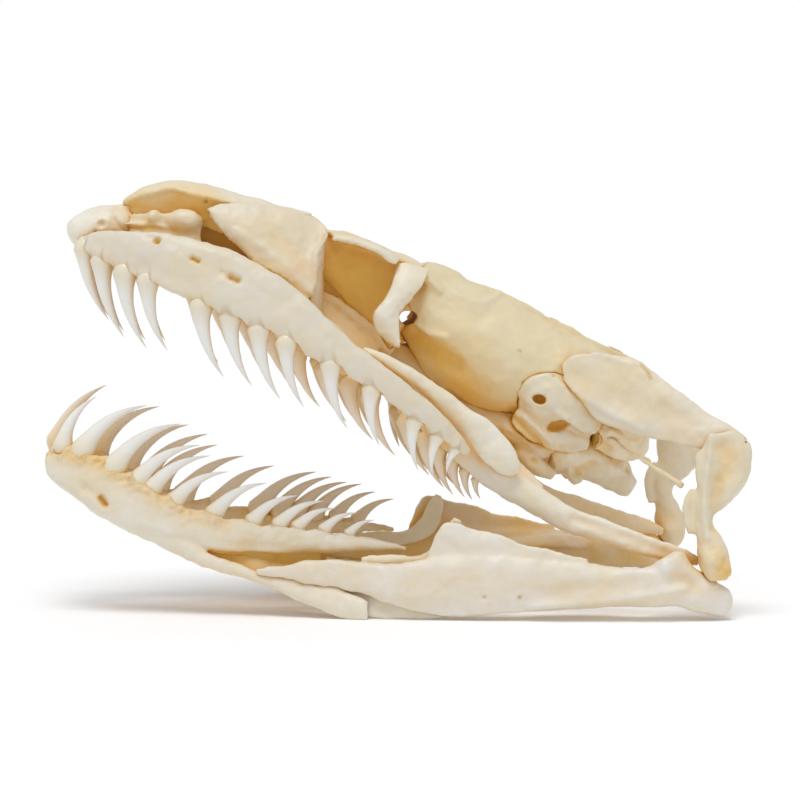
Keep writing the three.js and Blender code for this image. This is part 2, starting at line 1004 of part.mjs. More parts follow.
function dentary(grow) {
  return joined([
    shaft(
      [
        [-72.4, -3.4, 30.9, 1.1, 1.8],
        [-70.2, -4.2, 28.9, 2, 3.8],
        [-66, -5.8, 27, 2.4, 5],
        [-60, -7.6, 23.9, 2.6, 5.5],
        [-53.6, -9, 20.4, 2.6, 5.3],
        [-47.6, -10, 17.4, 2.4, 4.6],
        [-41, -10.8, 16, 2.1, 4],
        [-32, -11.6, 14.6, 1.9, 3.2],
        [-22, -12.6, 13.9, 1.8, 2.6],
        [-12, -13.6, 13.4, 1.7, 2],
        [-4, -14.4, 13, 1.3, 1.2],
        [1.6, -15.2, 12.6, 0.6, 0.5],
      ],
      { around: 8, boxy: 2.5, grow },
    ),
    sheet(
      [
        [-56, -10, 20],
        [-47, -11.4, 15.4],
        [-38, -12.6, 11.2],
        [-29, -14.2, 8.2],
        [-20, -16.2, 6.2],
        [-12, -18.2, 5.2],
        [-6, -20, 3],
      ],
      [
        [-56, -9.8, 16],
        [-47, -11, 11.4],
        [-38, -12.8, 8.1],
        [-29, -14.8, 5.8],
        [-20, -17.2, 2.6],
        [-12, -19.4, -0.4],
        [-6, -20.8, -1.4],
      ],
      { along: 7, across: 2, thick: 1.8, bulge: -0.3, grow },
    ),
  ]);
}

const dentaryRow = {
  places: [0.041, 0.125, 0.238, 0.339, 0.416, 0.506, 0.61, 0.699, 0.761, 0.802, 0.86, 0.921],
  longest: longestTooth + 1,
  shortest: 6.2,
  first: 0.73,
  fall: 1.5,
  leanFront: 34,
  leanBack: 62,
  leanFall: 0.12,
  hook: 0.1,
  splay: 0,
  stout: 1,
  up: 1,
};

// The right row stands one tooth fuller than the left
const dentaryRightRow = {
  ...dentaryRow,
  places: [0.015, 0.175, 0.295, 0.393, 0.46, 0.54, 0.628, 0.723, 0.775, 0.815, 0.858, 0.91, 0.97],
  shortest: 8.8,
  first: 1,
  fall: 2.4,
  leanFront: 41,
  leanBack: 58,
};

function splenial(grow) {
  return sheet(
    [
      [-47, -8.6, 14],
      [-39, -9.6, 11.6],
      [-30, -11, 10],
      [-21, -12.8, 8.8],
      [-14, -14.6, 7.6],
    ],
    [
      [-47, -8.8, 12],
      [-39, -10.6, 8.4],
      [-30, -12.8, 6],
      [-21, -15.2, 3.6],
      [-14, -16.8, 2.2],
    ],
    { along: 5, across: 2, thick: 1.1, grow },
  );
}

function angular(grow) {
  return sheet(
    [
      [-13, -15.6, 6.8],
      [-5, -17.4, 6],
      [4, -19.4, 5.4],
      [14, -21.2, 4.6],
    ],
    [
      [-13, -17.4, 1],
      [-5, -19.6, -0.6],
      [4, -21.2, -1],
      [14, -22.4, 0.6],
    ],
    { along: 4, across: 2, thick: 1.2, grow },
  );
}

function coronoid(grow) {
  return joined([
    sheet(
      [
        [11.2, -19.4, 19.8],
        [9.4, -19.2, 17.4],
        [7.6, -18.8, 14.4],
        [4.2, -18.2, 12],
        [-2.4, -17.8, 11.8],
        [-8, -17.2, 11.2],
      ],
      [
        [12.7, -19.6, 19],
        [12.9, -19.6, 16],
        [11.8, -19.4, 12.4],
        [8.4, -19.2, 9.8],
        [2.4, -18.6, 8.8],
        [-7.4, -17.6, 9.4],
      ],
      { along: 7, across: 2, thick: 1.1, bulge: 0.4, grow },
    ),
  ]);
}

function compound(grow) {
  return joined([
    shaft(
      [
        [-29, -15.6, 8.3, 0.5, 0.6],
        [-24, -16.3, 8.3, 1, 1.6],
        [-16, -17.6, 8, 1.3, 2.8],
        [-8, -19, 7.8, 1.5, 3.2],
        [0, -20.8, 6.4, 1.9, 4.6],
        [9, -22.4, 6.4, 2.3, 6.4],
        [19, -23.8, 6.8, 2.5, 6.2],
        [30, -25.2, 7.1, 2.5, 5.3],
        [40, -26.2, 6.7, 2.6, 4.4],
        [49, -26.8, 6.5, 2.9, 4],
        [56, -27, 7, 3.4, 4.2],
        [61, -27.2, 4.9, 3, 3.7],
        [65, -27.2, 3.2, 2.3, 3],
        [66.4, -27.2, 2.8, 1.2, 1.6],
      ],
      { around: 8, boxy: 2.3, grow },
    ),
    sheet(
      [
        [5.6, -21.6, 12.8],
        [7.8, -21.8, 16.8],
        [10.4, -22.1, 19.2],
        [15.4, -22.8, 17.9],
        [22.4, -24, 15.9],
        [30, -25.2, 13.9],
        [38, -26, 12.2],
      ],
      [
        [5, -21.4, 7],
        [8, -22.2, 7],
        [11.6, -22.8, 7],
        [16, -23.4, 7],
        [23, -24.4, 7],
        [31, -25.4, 7],
        [38, -26.2, 7],
      ],
      { along: 7, across: 2, thick: 1.8, grow },
    ),
    shaft(
      [
        [55.2, -27, 7.6, 3.4, 6.6],
        [55.2, -27, 9.6, 3.4, 5.4],
        [55.4, -27, 11.4, 3, 3.3],
        [55.6, -27, 12.9, 2.4, 1.7],
        [55.6, -27, 13.7, 1.6, 0.8],
      ],
      { around: 8, grow },
    ),
    sheet(
      [
        [26, -23.6, 9.6],
        [36, -24, 10.2],
        [46, -24.8, 9.6],
      ],
      [
        [26, -20.6, 7.6],
        [36, -20.8, 8],
        [46, -23, 7.4],
      ],
      { along: 4, across: 1, thick: 1.4, grow },
    ),
  ]);
}

// A small flat where a jaw stands on the floor
function floorCut() {
  const slab = new THREE.BoxGeometry(400, 400, 40);
  slab.translate(0, 0, -20);
  return solidFrom(slab);
}

// A round hole for a nerve or vessel
function hole(centre, radii, turn = 0) {
  return lump(centre, radii, { turn, fine: 7 });
}

const random = randomFrom(seed);
const maxillaTeeth = toothRow(maxillaLower, maxillaRow, random);
const palatineTeeth = toothRow(palatineLower, palatineRow, random);
const pterygoidTeeth = toothRow(pterygoidLower, pterygoidRow, random);
const dentaryTeeth = toothRow(dentaryUpper, dentaryRow, random);
const dentaryRightTeeth = toothRow(dentaryUpper, dentaryRightRow, random);

const prooticHoles = [
  hole([28.9, -12.6, 42.4], [1.5, 3.4, 1.1], 20),
  hole([32.8, -11.8, 36.9], [2.9, 3.6, 1.2], -16),
];
const quadratePit = hole([66.4, -26.6, 32.4], [2.2, 1.4, 1.4], 0);
const marrowHole = hole([52.2, 0, 31.4], [4.6, 2.7, 2.8], 0);
const opticHole = hole([1, 0, 58.4], [1.9, 18, 1.7], 0);

// Bones with a left and a right: each is cut back from its neighbours by the width of a suture
const pairShapes = {
  nasal,
  septomaxilla,
  vomer,
  prefrontal,
  frontal,
  supraorbital,
  postorbital,
  prootic,
  supratemporal,
  exoccipital,
  quadrate,
  stapes,
  maxilla,
  ectopterygoid,
  palatine,
  pterygoid,
  dentary,
  splenial,
  angular,
  coronoid,
  compound,
};
const middleShapes = { premaxilla, parietal, supraoccipital, basioccipital, parasphenoid };

const pairNeighbours = {
  nasal: ["premaxilla", "prefrontal", "septomaxilla", "vomer", "palatine", "maxilla"],
  septomaxilla: ["premaxilla", "maxilla"],
  vomer: ["premaxilla", "septomaxilla", "palatine"],
  prefrontal: ["maxilla"],
  frontal: ["prefrontal", "nasal", "parietal", "postorbital", "parasphenoid"],
  supraorbital: ["prefrontal", "frontal", "postorbital", "parietal"],
  postorbital: ["parietal", "ectopterygoid"],
  prootic: ["supratemporal", "exoccipital"],
  supratemporal: [],
  exoccipital: ["supratemporal"],
  quadrate: ["supratemporal", "compound", "pterygoid", "stapes"],
  stapes: ["supratemporal", "exoccipital"],
  maxilla: ["premaxilla"],
  ectopterygoid: ["maxilla"],
  palatine: ["maxilla", "prefrontal", "parasphenoid", "frontal"],
  pterygoid: ["palatine", "ectopterygoid", "parasphenoid", "compound"],
  dentary: [],
  splenial: ["dentary"],
  angular: ["dentary", "splenial"],
  coronoid: ["dentary", "splenial", "angular"],
  compound: ["dentary", "splenial", "angular", "coronoid"],
};
const middleNeighbours = {
  premaxilla: [],
  parietal: ["supratemporal", "prootic", "exoccipital", "supraoccipital", "parasphenoid"],
  supraoccipital: ["supratemporal", "exoccipital"],
  basioccipital: ["exoccipital", "prootic", "supraoccipital"],
  parasphenoid: ["basioccipital", "prootic"],
};

function grown(name) {
  if (middleShapes[name]) return [middleShapes[name](suture)];
  const left = pairShapes[name](suture);
  return [left, mirrored(left)];
}

// Bone colours
const finishes = {
  bone: { color: 0xefe6cf, roughness: 0.55, metalness: 0 },
  toothed: { color: 0xf3ecd9, roughness: 0.45, metalness: 0 },
  inner: { color: 0xd9b878, roughness: 0.6, metalness: 0 },
};
const toothedBones = ["maxilla", "dentary", "palatine", "pterygoid"];
const innerBones = ["coronoid", "splenial", "vomer", "parasphenoid"];

const group = new THREE.Group();

function addBone(name, solid, kind) {
  const bone = largest(solid.simplify(0.15));
  const data = bone.getMesh();
  const geometry = new THREE.BufferGeometry();
  const stride = data.numProp;
  const points = new Float32Array(data.numVert * 3);
  for (let i = 0; i < data.numVert; i++) {
    points.set(data.vertProperties.subarray(i * stride, i * stride + 3), i * 3);
  }
  geometry.setAttribute("position", new THREE.BufferAttribute(points, 3));
  geometry.setIndex(new THREE.BufferAttribute(new Uint32Array(data.triVerts), 1));
  const mesh = new THREE.Mesh(geometry, new THREE.MeshStandardMaterial(finishes[kind]));
  mesh.name = name;
  group.add(mesh);
}

const extra = {
  maxilla: { add: maxillaTeeth, cut: [] },
  palatine: { add: palatineTeeth, cut: [] },
  pterygoid: { add: pterygoidTeeth, cut: [] },
  dentary: { add: dentaryTeeth, other: dentaryRightTeeth, cut: [] },
  frontal: { add: [], cut: [opticHole] },
  prootic: { add: [], cut: prooticHoles },
  quadrate: { add: [], cut: [quadratePit] },
  exoccipital: { add: [], cut: [marrowHole] },
};
const midPlane = new THREE.BoxGeometry(400, 0.3, 300);
const midCut = solidFrom(midPlane.translate(0, 0, 50));
const farHalf = new THREE.BoxGeometry(400, 100, 300);
const farCut = solidFrom(farHalf.translate(0, 50.15, 50));
const floor = floorCut();

for (const [name, shape] of Object.entries(pairShapes)) {
  const { add = [], other = null, cut = [] } = extra[name] || {};
  const body = joined([shape(0), ...add]);
  const otherBody = joined([shape(0), ...(other || add)]);
  const cutters = [...cut, floor, farCut, midCut];
  for (const neighbour of pairNeighbours[name]) cutters.push(...grown(neighbour));
  const left = largest(without(body, cutters));
  const right = mirrored(largest(without(otherBody, cutters)));
  const kind = toothedBones.includes(name)
    ? "toothed"
    : innerBones.includes(name)
      ? "inner"
      : "bone";
  addBone(name + "_left", left, kind);
  addBone(name + "_right", right, kind);
}

for (const [name, shape] of Object.entries(middleShapes)) {
  const cutters = [floor];
  if (name === "supraoccipital" || name === "basioccipital") cutters.push(marrowHole);
  if (name === "parietal") cutters.push(opticHole);
  for (const neighbour of middleNeighbours[name]) cutters.push(...grown(neighbour));
  addBone(name, without(shape(0), cutters), innerBones.includes(name) ? "inner" : "bone");
}

export default group;
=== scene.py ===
import math

import bmesh
import bpy
import numpy as np
from mathutils import Matrix, Vector
from mathutils.bvhtree import BVHTree


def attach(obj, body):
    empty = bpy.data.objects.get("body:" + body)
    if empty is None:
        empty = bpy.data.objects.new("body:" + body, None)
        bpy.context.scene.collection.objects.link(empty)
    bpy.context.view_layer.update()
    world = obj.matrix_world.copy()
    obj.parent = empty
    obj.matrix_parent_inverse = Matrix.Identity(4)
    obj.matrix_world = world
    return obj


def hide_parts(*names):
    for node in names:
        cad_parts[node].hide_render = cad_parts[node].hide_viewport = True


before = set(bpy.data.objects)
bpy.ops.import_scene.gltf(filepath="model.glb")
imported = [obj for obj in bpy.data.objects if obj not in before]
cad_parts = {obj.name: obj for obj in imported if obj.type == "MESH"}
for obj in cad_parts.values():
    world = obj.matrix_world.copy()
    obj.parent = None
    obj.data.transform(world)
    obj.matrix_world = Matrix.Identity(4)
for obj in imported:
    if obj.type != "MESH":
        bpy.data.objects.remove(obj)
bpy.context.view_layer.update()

# Sizes in millimetres, the same as those of the solids
snoutHalf = 6.2
braincaseHalf = 11.8
crestHeight = 5
mandibleTipSpread = 3.6
longestTooth = 15.4
toothRadius = 1.9

# The head's taper, by how far a point lies from the middle plane
headShape = {
    "mid": 40.7,  # the height that keeps its place as the sides grow
    "lift": 2.4,
    "growth": 0.00112,
    "sweep": 0.104,
    "drop": 0.0385,
    "centring": 1.512,
}

# How finely a bone is made
detail = {
    "around": 20,  # points round a shaft
    "steps": 3,  # rings from one station to the next
    "sheetAlong": 22,
    "sheetAcross": 10,
    "lumpRings": 9,
    "lumpAround": 16,
    "facet": 0.37,  # size of the even facets
    "smoothing": 5,  # rounds of smoothing over the facets
    "relax": 0.5,  # how far each round goes
    "cutGap": 0.05,  # how much a neighbour is grown before it is cut away
    "seam": 0.1,  # half the seam along the middle plane
    "holeOff": 1,  # a hole further out than this is cut on both sides
}
# The thinnest half width of a shaft, the power of a round section, and a small step along the curve
shaftShape = {"least": 0.15, "round": 2, "nudge": 1e-3}
# A sheet's thickness, the shares of it at the edge and added within, how steeply, and a small step
sheetShape = {"thick": 1.3, "edge": 0.55, "body": 0.45, "rim": 4, "nudge": 0.02}
# Reach of the boxes that cut the bones at the floor and at the middle plane
cutBox = {"far": 200, "under": 40, "below": 100}
metre = 0.001  # a millimetre, in metres


# Even random numbers between 0 and 1, the same in every run
def randomNumbers(start):
    state = start
    while True:
        state = (state * 1664525 + 1013904223) % 4294967296
        yield state / 4294967296


# Sets points out, forward and down, the more so the further they lie from the middle plane
def placed(points):
    points = np.array([point[:3] for point in np.atleast_2d(np.array(points, dtype=float))])
    wide = np.abs(points[:, 1])
    grown = 1 + headShape["growth"] * wide
    x = points[:, 0] * grown - headShape["sweep"] * wide + headShape["centring"]
    z = headShape["mid"] + headShape["lift"] + (points[:, 2] - headShape["mid"]) * grown
    return np.stack([x, points[:, 1], z - headShape["drop"] * wide], axis=1)


# Points on a smooth curve through knots, one knot for each whole step
def onCurve(knots, share):
    knots = np.asarray(knots, dtype=float)
    last = len(knots) - 1
    run = np.asarray(share, dtype=float) * last
    index = np.clip(np.floor(run).astype(int), 0, last - 1)
    w = (run - index)[:, None]
    longer = np.vstack([2 * knots[0] - knots[1], knots, 2 * knots[-1] - knots[-2]])
    before, here, there, after = (longer[index + k] for k in range(4))
    rise = 0.5 * (there - before)
    fall = 0.5 * (after - here)
    return (
        here
        + rise * w
        + (3 * (there - here) - 2 * rise - fall) * w**2
        + (2 * (here - there) + rise + fall) * w**3
    )


def unit(vectors):
    return vectors / np.maximum(np.linalg.norm(vectors, axis=-1, keepdims=True), 1e-9)


# A closed mesh object from points and faces, turned so that it faces outwards
def meshObject(name, points, faces):
    mesh = bpy.data.meshes.new(name)
    mesh.from_pydata([tuple(point) for point in points], [], faces)
    made = bpy.data.objects.new(name, mesh)
    bpy.context.collection.objects.link(made)
    work = bmesh.new()
    work.from_mesh(mesh)
    if work.calc_volume(signed=True) < 0:
        bmesh.ops.reverse_faces(work, faces=work.faces)
    work.to_mesh(mesh)
    work.free()
    return made


def ringFaces(rings, around):
    faces = []
    for i in range(rings - 1):
        for j in range(around):
            a = i * around + j
            b = i * around + (j + 1) % around
            faces.append((a, b, b + around, a + around))
    return faces


# Rings of points closed at both ends by a fan
def closedTube(name, rings):
    count, around = rings.shape[:2]
    points = np.vstack([rings.reshape(-1, 3), rings[0].mean(axis=0), rings[-1].mean(axis=0)])
    faces = ringFaces(count, around)
    first, last, end = count * around, count * around + 1, (count - 1) * around
    for j in range(around):
        following = (j + 1) % around
        faces.append((first, following, j))
        faces.append((last, end + j, end + following))
    return meshObject(name, points, faces)


# A rounded shaft along stations of x, y, z, half width, half height and roll in degrees
def shaftObject(name, part, grow=0.0):
    rows = part["rows"]
    around, steps = detail["around"], detail["steps"]
    least, nudge = shaftShape["least"], shaftShape["nudge"]
    share = np.linspace(0, 1, (len(rows) - 1) * steps + 1)
    centres = placed([row[:3] for row in rows])
    halves = np.array([[row[3], row[4], row[5] if len(row) > 5 else 0] for row in rows])
    path = onCurve(centres, share)
    tangent = unit(onCurve(centres, share + nudge) - onCurve(centres, share - nudge))
    half = onCurve(halves, share)
    side = unit(np.array([[0.0, 1.0, 0.0]]) - tangent * tangent[:, 1:2])
    over = unit(np.cross(tangent, side))
    turn = np.linspace(0, 2 * math.pi, around, endpoint=False)
    power = 2 / part.get("boxy", shaftShape["round"])
    across = np.sign(np.sin(turn)) * np.abs(np.sin(turn)) ** power
    upright = np.sign(np.cos(turn)) * np.abs(np.cos(turn)) ** power
    roll = np.radians(half[:, 2])[:, None]
    a = across[None, :] * (np.maximum(half[:, 0], least) + grow)[:, None]
    b = upright[None, :] * (np.maximum(half[:, 1], least) + grow)[:, None]
    rings = (
        path[:, None, :]
        + (a * np.cos(roll) - b * np.sin(roll))[..., None] * side[:, None, :]
        + (a * np.sin(roll) + b * np.cos(roll))[..., None] * over[:, None, :]
    )
    rings[0] -= tangent[0] * grow
    rings[-1] += tangent[-1] * grow
    return closedTube(name, rings)


# A thin curved bone between two edges; the bulge lifts its middle along its own normal
def sheetObject(name, part, grow=0.0):
    along, across = detail["sheetAlong"], detail["sheetAcross"]
    first, second = placed(part["first"]), placed(part["second"])
    thick, bulge = part.get("thick", sheetShape["thick"]), part.get("bulge", 0)
    nudge, steep = sheetShape["nudge"], sheetShape["rim"]
    s = np.linspace(0, 1, along + 1)
    t = np.linspace(0, 1, across + 1)[None, :, None]
    near, far = onCurve(first, s), onCurve(second, s)
    ahead, behind = np.minimum(s + nudge, 1), np.maximum(s - nudge, 0)
    middle = near[:, None, :] * (1 - t) + far[:, None, :] * t
    ds = (onCurve(first, ahead) - onCurve(first, behind))[:, None, :] * (1 - t)
    ds = ds + (onCurve(second, ahead) - onCurve(second, behind))[:, None, :] * t
    dt = np.broadcast_to((far - near)[:, None, :], ds.shape)
    normal = unit(np.cross(ds, dt))
    rim = np.minimum(1, steep * np.minimum(s, 1 - s))[:, None, None]
    rim = rim * np.minimum(1, steep * np.minimum(t, 1 - t))
    half = thick / 2 * (sheetShape["edge"] + sheetShape["body"] * rim) + grow
    lift = bulge * np.sin(math.pi * t)
    if grow:
        middle = middle + unit(ds) * (s - 0.5)[:, None, None] * 2 * grow + unit(dt) * (t - 0.5) * 2 * grow
    front, back = middle + normal * (lift + half), middle + normal * (lift - half)
    points = np.vstack([front.reshape(-1, 3), back.reshape(-1, 3)])
    wide, count = across + 1, (along + 1) * (across + 1)
    faces = []
    for i in range(along):
        for j in range(across):
            a = i * wide + j
            faces.append((a, a + 1, a + wide + 1, a + wide))
            faces.append((count + a, count + a + wide, count + a + wide + 1, count + a + 1))
    border = [i * wide for i in range(along)]
    border += [along * wide + j for j in range(across)]
    border += [i * wide + across for i in range(along, 0, -1)]
    border += list(range(across, 0, -1))
    for a, b in zip(border, border[1:] + border[:1]):
        faces.append((a, b, count + b, count + a))
    return meshObject(name, points, faces)


# A rounded lump; as a cutter it leaves a hole of the same form
def lumpObject(name, part, grow=0.0):
    rings, around = detail["lumpRings"], detail["lumpAround"]
    turn = np.linspace(0, 2 * math.pi, around, endpoint=False)
    tilt = np.linspace(0, math.pi, rings + 2)[1:-1]
    radii = np.array(part["radii"]) + grow
    ball = np.stack(
        [
            np.outer(np.sin(tilt), np.cos(turn)) * radii[0],
            np.outer(np.sin(tilt), np.sin(turn)) * radii[1],
            np.outer(np.cos(tilt), np.ones(around)) * radii[2],
        ],
        axis=2,
    )
    angle = math.radians(part.get("turn", 0))
    spun = ball.copy()
    spun[..., 0] = ball[..., 0] * math.cos(angle) + ball[..., 2] * math.sin(angle)
    spun[..., 2] = -ball[..., 0] * math.sin(angle) + ball[..., 2] * math.cos(angle)
    return closedTube(name, spun + placed([part["centre"]])[0])


# All shafts, sheets and lumps of one bone
def shapesOf(bone, grow=0.0):
    made = [shaftObject("tool", part, grow) for part in bone.get("shafts", [])]
    made += [sheetObject("tool", part, grow) for part in bone.get("sheets", [])]
    made += [lumpObject("tool", part, grow) for part in bone.get("lumps", [])]
    return made


def mirroredObject(source):
    points, faces = meshArrays(source.data)
    return meshObject("tool", points * [1, -1, 1], [tuple(face) for face in faces])


def meshArrays(mesh):
    points = np.empty(len(mesh.vertices) * 3)
    mesh.vertices.foreach_get("co", points)
    return points.reshape(-1, 3), [list(polygon.vertices) for polygon in mesh.polygons]


def removeObjects(objects):
    for thing in objects:
        mesh = thing.data
        bpy.data.objects.remove(thing)
        bpy.data.meshes.remove(mesh)


# Joins the shapes, cuts the cutters away, and lays an even net of small facets over the result
def refined(name, adds, cuts, facet, smoothing):
    base = adds[0]
    for operation, others in (("UNION", adds[1:]), ("DIFFERENCE", cuts)):
        for other in others:
            step = base.modifiers.new(operation.lower(), "BOOLEAN")
            step.operation = operation
            step.solver = "MANIFOLD"
            step.object = other
    net = base.modifiers.new("net", "REMESH")
    net.mode = "VOXEL"
    net.voxel_size = facet
    net.use_smooth_shade = True
    relax = base.modifiers.new("relax", "SMOOTH")
    relax.factor = detail["relax"]
    relax.iterations = smoothing
    graph = bpy.context.evaluated_depsgraph_get()
    mesh = bpy.data.meshes.new_from_object(base.evaluated_get(graph), depsgraph=graph)
    mesh.name = name
    removeObjects(adds + cuts)
    return mesh


# The bones. Shafts hold stations, sheets hold two edges, and marks and spots hold places at x and z.
# A negative depth is a ridge; rough is how crumbled a place is, dark how much painted shade fills a small
# hole, and tint how far its depth turns ochre, as painted shade in grooves along with real stain and as
# paler painted light on ridges.

# Front tip of the snout, with its rising and its palate process
premaxilla = {
    "shafts": [
        {"rows": [
            [-68.4, 0, 75.4, 2, 1.6], [-67.3, 0, 75.9, 4.2, 3.2],
            [-65, 0, 76.6, snoutHalf - 1, 4], [-62, 0, 77.2, snoutHalf - 0.5, 4.5],
            [-59.4, 0, 77.2, snoutHalf - 0.9, 4.4], [-57, 0, 77.2, snoutHalf - 1.5, 3.8],
            [-55.2, 0, 77.2, snoutHalf - 3, 2.6],
        ]},
        {"rows": [
            [-63, 0, 79.2, 2.4, 1.7], [-59, 0, 80.6, 1.9, 1.2], [-55, 0, 82.2, 1.2, 0.9],
        ]},
        {"rows": [
            [-63, 0, 74.2, 2.8, 1.4], [-57, 0, 72.8, 2, 0.9], [-53.5, 0, 72.1, 1.2, 0.6],
        ]},
    ],
    "marks": [
        {"at": [[-60.6, 80.6]], "radius": 0.75, "depth": 0.6, "tint": 0.1, "ring": 0.22, "dark": 0.2},
        {"at": [[-61.9, 79]], "radius": 0.35, "depth": 0.35, "dark": 0.7},
        {"at": [[-58.2, 78.8]], "radius": 0.35, "depth": 0.35, "dark": 0.7},
        {"at": [[-57.6, 81.6], [-56.4, 79.6], [-54.6, 78]], "radius": 0.4, "depth": 0.25, "dark": 0.4},
    ],
    "finish": {"stain": 0.04, "spots": [[-58.4, 80, 3, 0.12]]},
    "look": {"ivory": (0.85, 0.81, 0.72, 1)},
}

# Roof of the snout: top plate, side wall and the plate between the nasal passages
nasal = {
    "sheets": [
        {"first": [
            [-57.2, -0.15, 82.6], [-53, -0.15, 85.4], [-47, -0.15, 86.6], [-40.8, -0.15, 85.9],
            [-33, -0.15, 83.6], [-25, -0.15, 81.2], [-18.5, -0.15, 79.4],
        ], "second": [
            [-57.6, -1.5, 82], [-53.6, -3, 84], [-47, -4.2, 84.9], [-40.8, -5.6, 83.8],
            [-34.6, -6.4, 82], [-25, -4.8, 80.4], [-18.5, -2.6, 79.2],
        ], "thick": 1.2, "bulge": -0.4},
        {"first": [
            [-57, -1.2, 82], [-53.4, -2.4, 83.8], [-47, -3.4, 84.6], [-41, -4.8, 83.6],
            [-36, -5.8, 82],
        ], "second": [
            [-56.6, -1.6, 78.8], [-53, -2.2, 79], [-47, -2.6, 79], [-41, -3.4, 77.6],
            [-36, -4.4, 76],
        ], "thick": 1.2, "bulge": 0.5},
        {"first": [
            [-55, -0.75, 82.6], [-45, -0.75, 85], [-32, -0.75, 82.6], [-20, -0.75, 79.2],
        ], "second": [
            [-53, -0.75, 74.6], [-45, -0.75, 70], [-32, -0.75, 65], [-20, -0.75, 61.6],
        ], "thick": 1},
    ],
    "marks": [
        {"at": [[-39.1, 85]], "radius": 0.4, "depth": 0.4, "dark": 0.9},
    ],
    "finish": {
        # The spots paint the shade in the hollow side under the overhanging roof, along with real stain
        "spots": [
            [-53.6, 84, 3.4, 0.42], [-46, 84.6, 4, 0.4], [-39.5, 84.4, 3.6, 0.65], [-36, 82, 3, 0.6],
            [-34, 77, 5, 0.7],
        ],
    },
}

# Curled bone inside the nostril
septomaxilla = {
    "sheets": [
        {"first": [
            [-57.3, -2.6, 79.6], [-53, -4.6, 80.2], [-49, -5.4, 80.4], [-43.5, -6, 80.4],
            [-40.5, -6, 78],
        ], "second": [
            [-57.3, -6.2, 74.6], [-53, -7.6, 73.6], [-49, -8.2, 72.8], [-43.5, -8.6, 72.4],
            [-40.5, -8.2, 73],
        ], "thick": 1.1, "bulge": 1},
        {"first": [
            [-57, -1.6, 78.6], [-50, -2.2, 79], [-42, -2.4, 78.4],
        ], "second": [
            [-57, -5, 78], [-50, -6.4, 77.6], [-42, -6.8, 77],
        ], "thick": 1},
    ],
    "lumps": [
        {"centre": [-44.4, -5.4, 78.8], "radii": [4, 2.4, 2.6]},
        {"centre": [-50.6, -4.8, 79.2], "radii": [1.9, 1.8, 1.9]},
    ],
    "finish": {"stain": 0.16, "spots": [[-50.6, 79.6, 1.6, 0.25], [-43, 74, 2, 0.2]]},
}

# Thin rod in the front of the palate
vomer = {
    "shafts": [
        {"rows": [
            [-52.8, -1.4, 71.8, 0.8, 0.8], [-48, -2.4, 72.2, 1.9, 1.8],
            [-42.5, -2.8, 72.4, 2.2, 2.2], [-37, -2.2, 71.2, 1.4, 1.5],
            [-30, -1.5, 69.6, 0.7, 0.9],
        ]},
    ],
    "finish": {"stain": 0.2},
}

# Front wall of the orbit: an upper wing, and the plate that comes down to the maxilla
prefrontal = {
    "sheets": [
        {"first": [
            [-39.8, -6.9, 81], [-35, -6.9, 82.2], [-29, -6.4, 82], [-23.5, -5.6, 81.2],
            [-17.6, -4.6, 79.4], [-14.9, -6.4, 77.2],
        ], "second": [
            [-39, -8.2, 79.6], [-33.8, -10.6, 74.4], [-29.6, -12.8, 70.6],
            [-23.8, -14.2, 67.4], [-19.4, -14.8, 62.8], [-17.6, -13.6, 63.6],
        ], "thick": 1.3, "bulge": -0.5},
        {"first": [
            [-17.6, -4.6, 77.6], [-16.6, -4.4, 72], [-16.2, -4.8, 66], [-16.6, -7, 58.6],
        ], "second": [
            [-14.6, -8.6, 76.4], [-16.6, -11, 72], [-17.6, -12.6, 67], [-17.8, -13.4, 60.4],
        ], "thick": 1.3, "bulge": -0.8},
    ],
    "marks": [
        {"at": [[-33, 78.6], [-28, 76.2], [-22, 71.4], [-17.8, 66.4]], "radius": 1.2, "depth": -0.3},
        {"at": [[-24.6, 77.6], [-20.4, 74.4], [-18.4, 70.4]], "radius": 1.8, "depth": 0.4},
        {"at": [[-37, 80], [-33.6, 76.4], [-29, 72.2], [-24.4, 68.6]],
         "radius": 1.2, "depth": 0.15, "rough": 0.55},
        {"at": [[-22, 68], [-18.6, 65.6]], "radius": 1.5, "depth": 0.1, "rough": 0.4},
        {"at": [[-16.8, 78], [-17.4, 74], [-18.2, 70]], "radius": 0.9, "depth": -0.25},
    ],
    "finish": {"stain": 0.1, "spots": [[-20, 69, 5, 0.2], [-21.6, 70, 3, 0.22], [-27, 71, 2.4, 0.18]]},
    "look": {"ivory": (0.74, 0.685, 0.60, 1)},
}

# Roof and inner wall of the orbit
frontal = {
    "shafts": [
        {"rows": [
            [-17, -2.2, 72.2, 1.8, 4.6], [-14, -2.4, 71, 2.2, 5], [-9, -2.6, 68, 2.4, 6.6],
            [-3, -3, 64, 2.8, 8.4], [3.2, -4.2, 60, 3.8, 9.8],
        ], "boxy": 3},
    ],
    "sheets": [
        {"first": [
            [-18, -1.5, 70], [-9, -1.8, 66], [1, -2.2, 60],
        ], "second": [
            [-18, -1, 60.6], [-9, -1, 55.6], [1, -1.6, 50],
        ], "thick": 1.1},
        {"first": [
            [-16.4, -0.3, 76.8], [-12, -0.3, 75.4], [-5, -0.3, 73], [3.6, -0.3, 69.4],
        ], "second": [
            [-14, -7.2, 76.2], [-11, -8.9, 74.8], [-5, -9.2, 72.8], [3.4, -8.8, 69],
        ], "thick": 1.6, "bulge": 0.25},
    ],
    "finish": {
        "stain": 0.1, "inner": 0.2,
        # The spots paint the orbit's walls ochre: real stain, and painted shade of the deep orbit
        "spots": [
            [-12, 70, 7, 0.85], [-5, 66, 7, 0.85], [-13, 62, 6, 0.85], [-4, 58, 6, 0.85],
        ],
    },
}

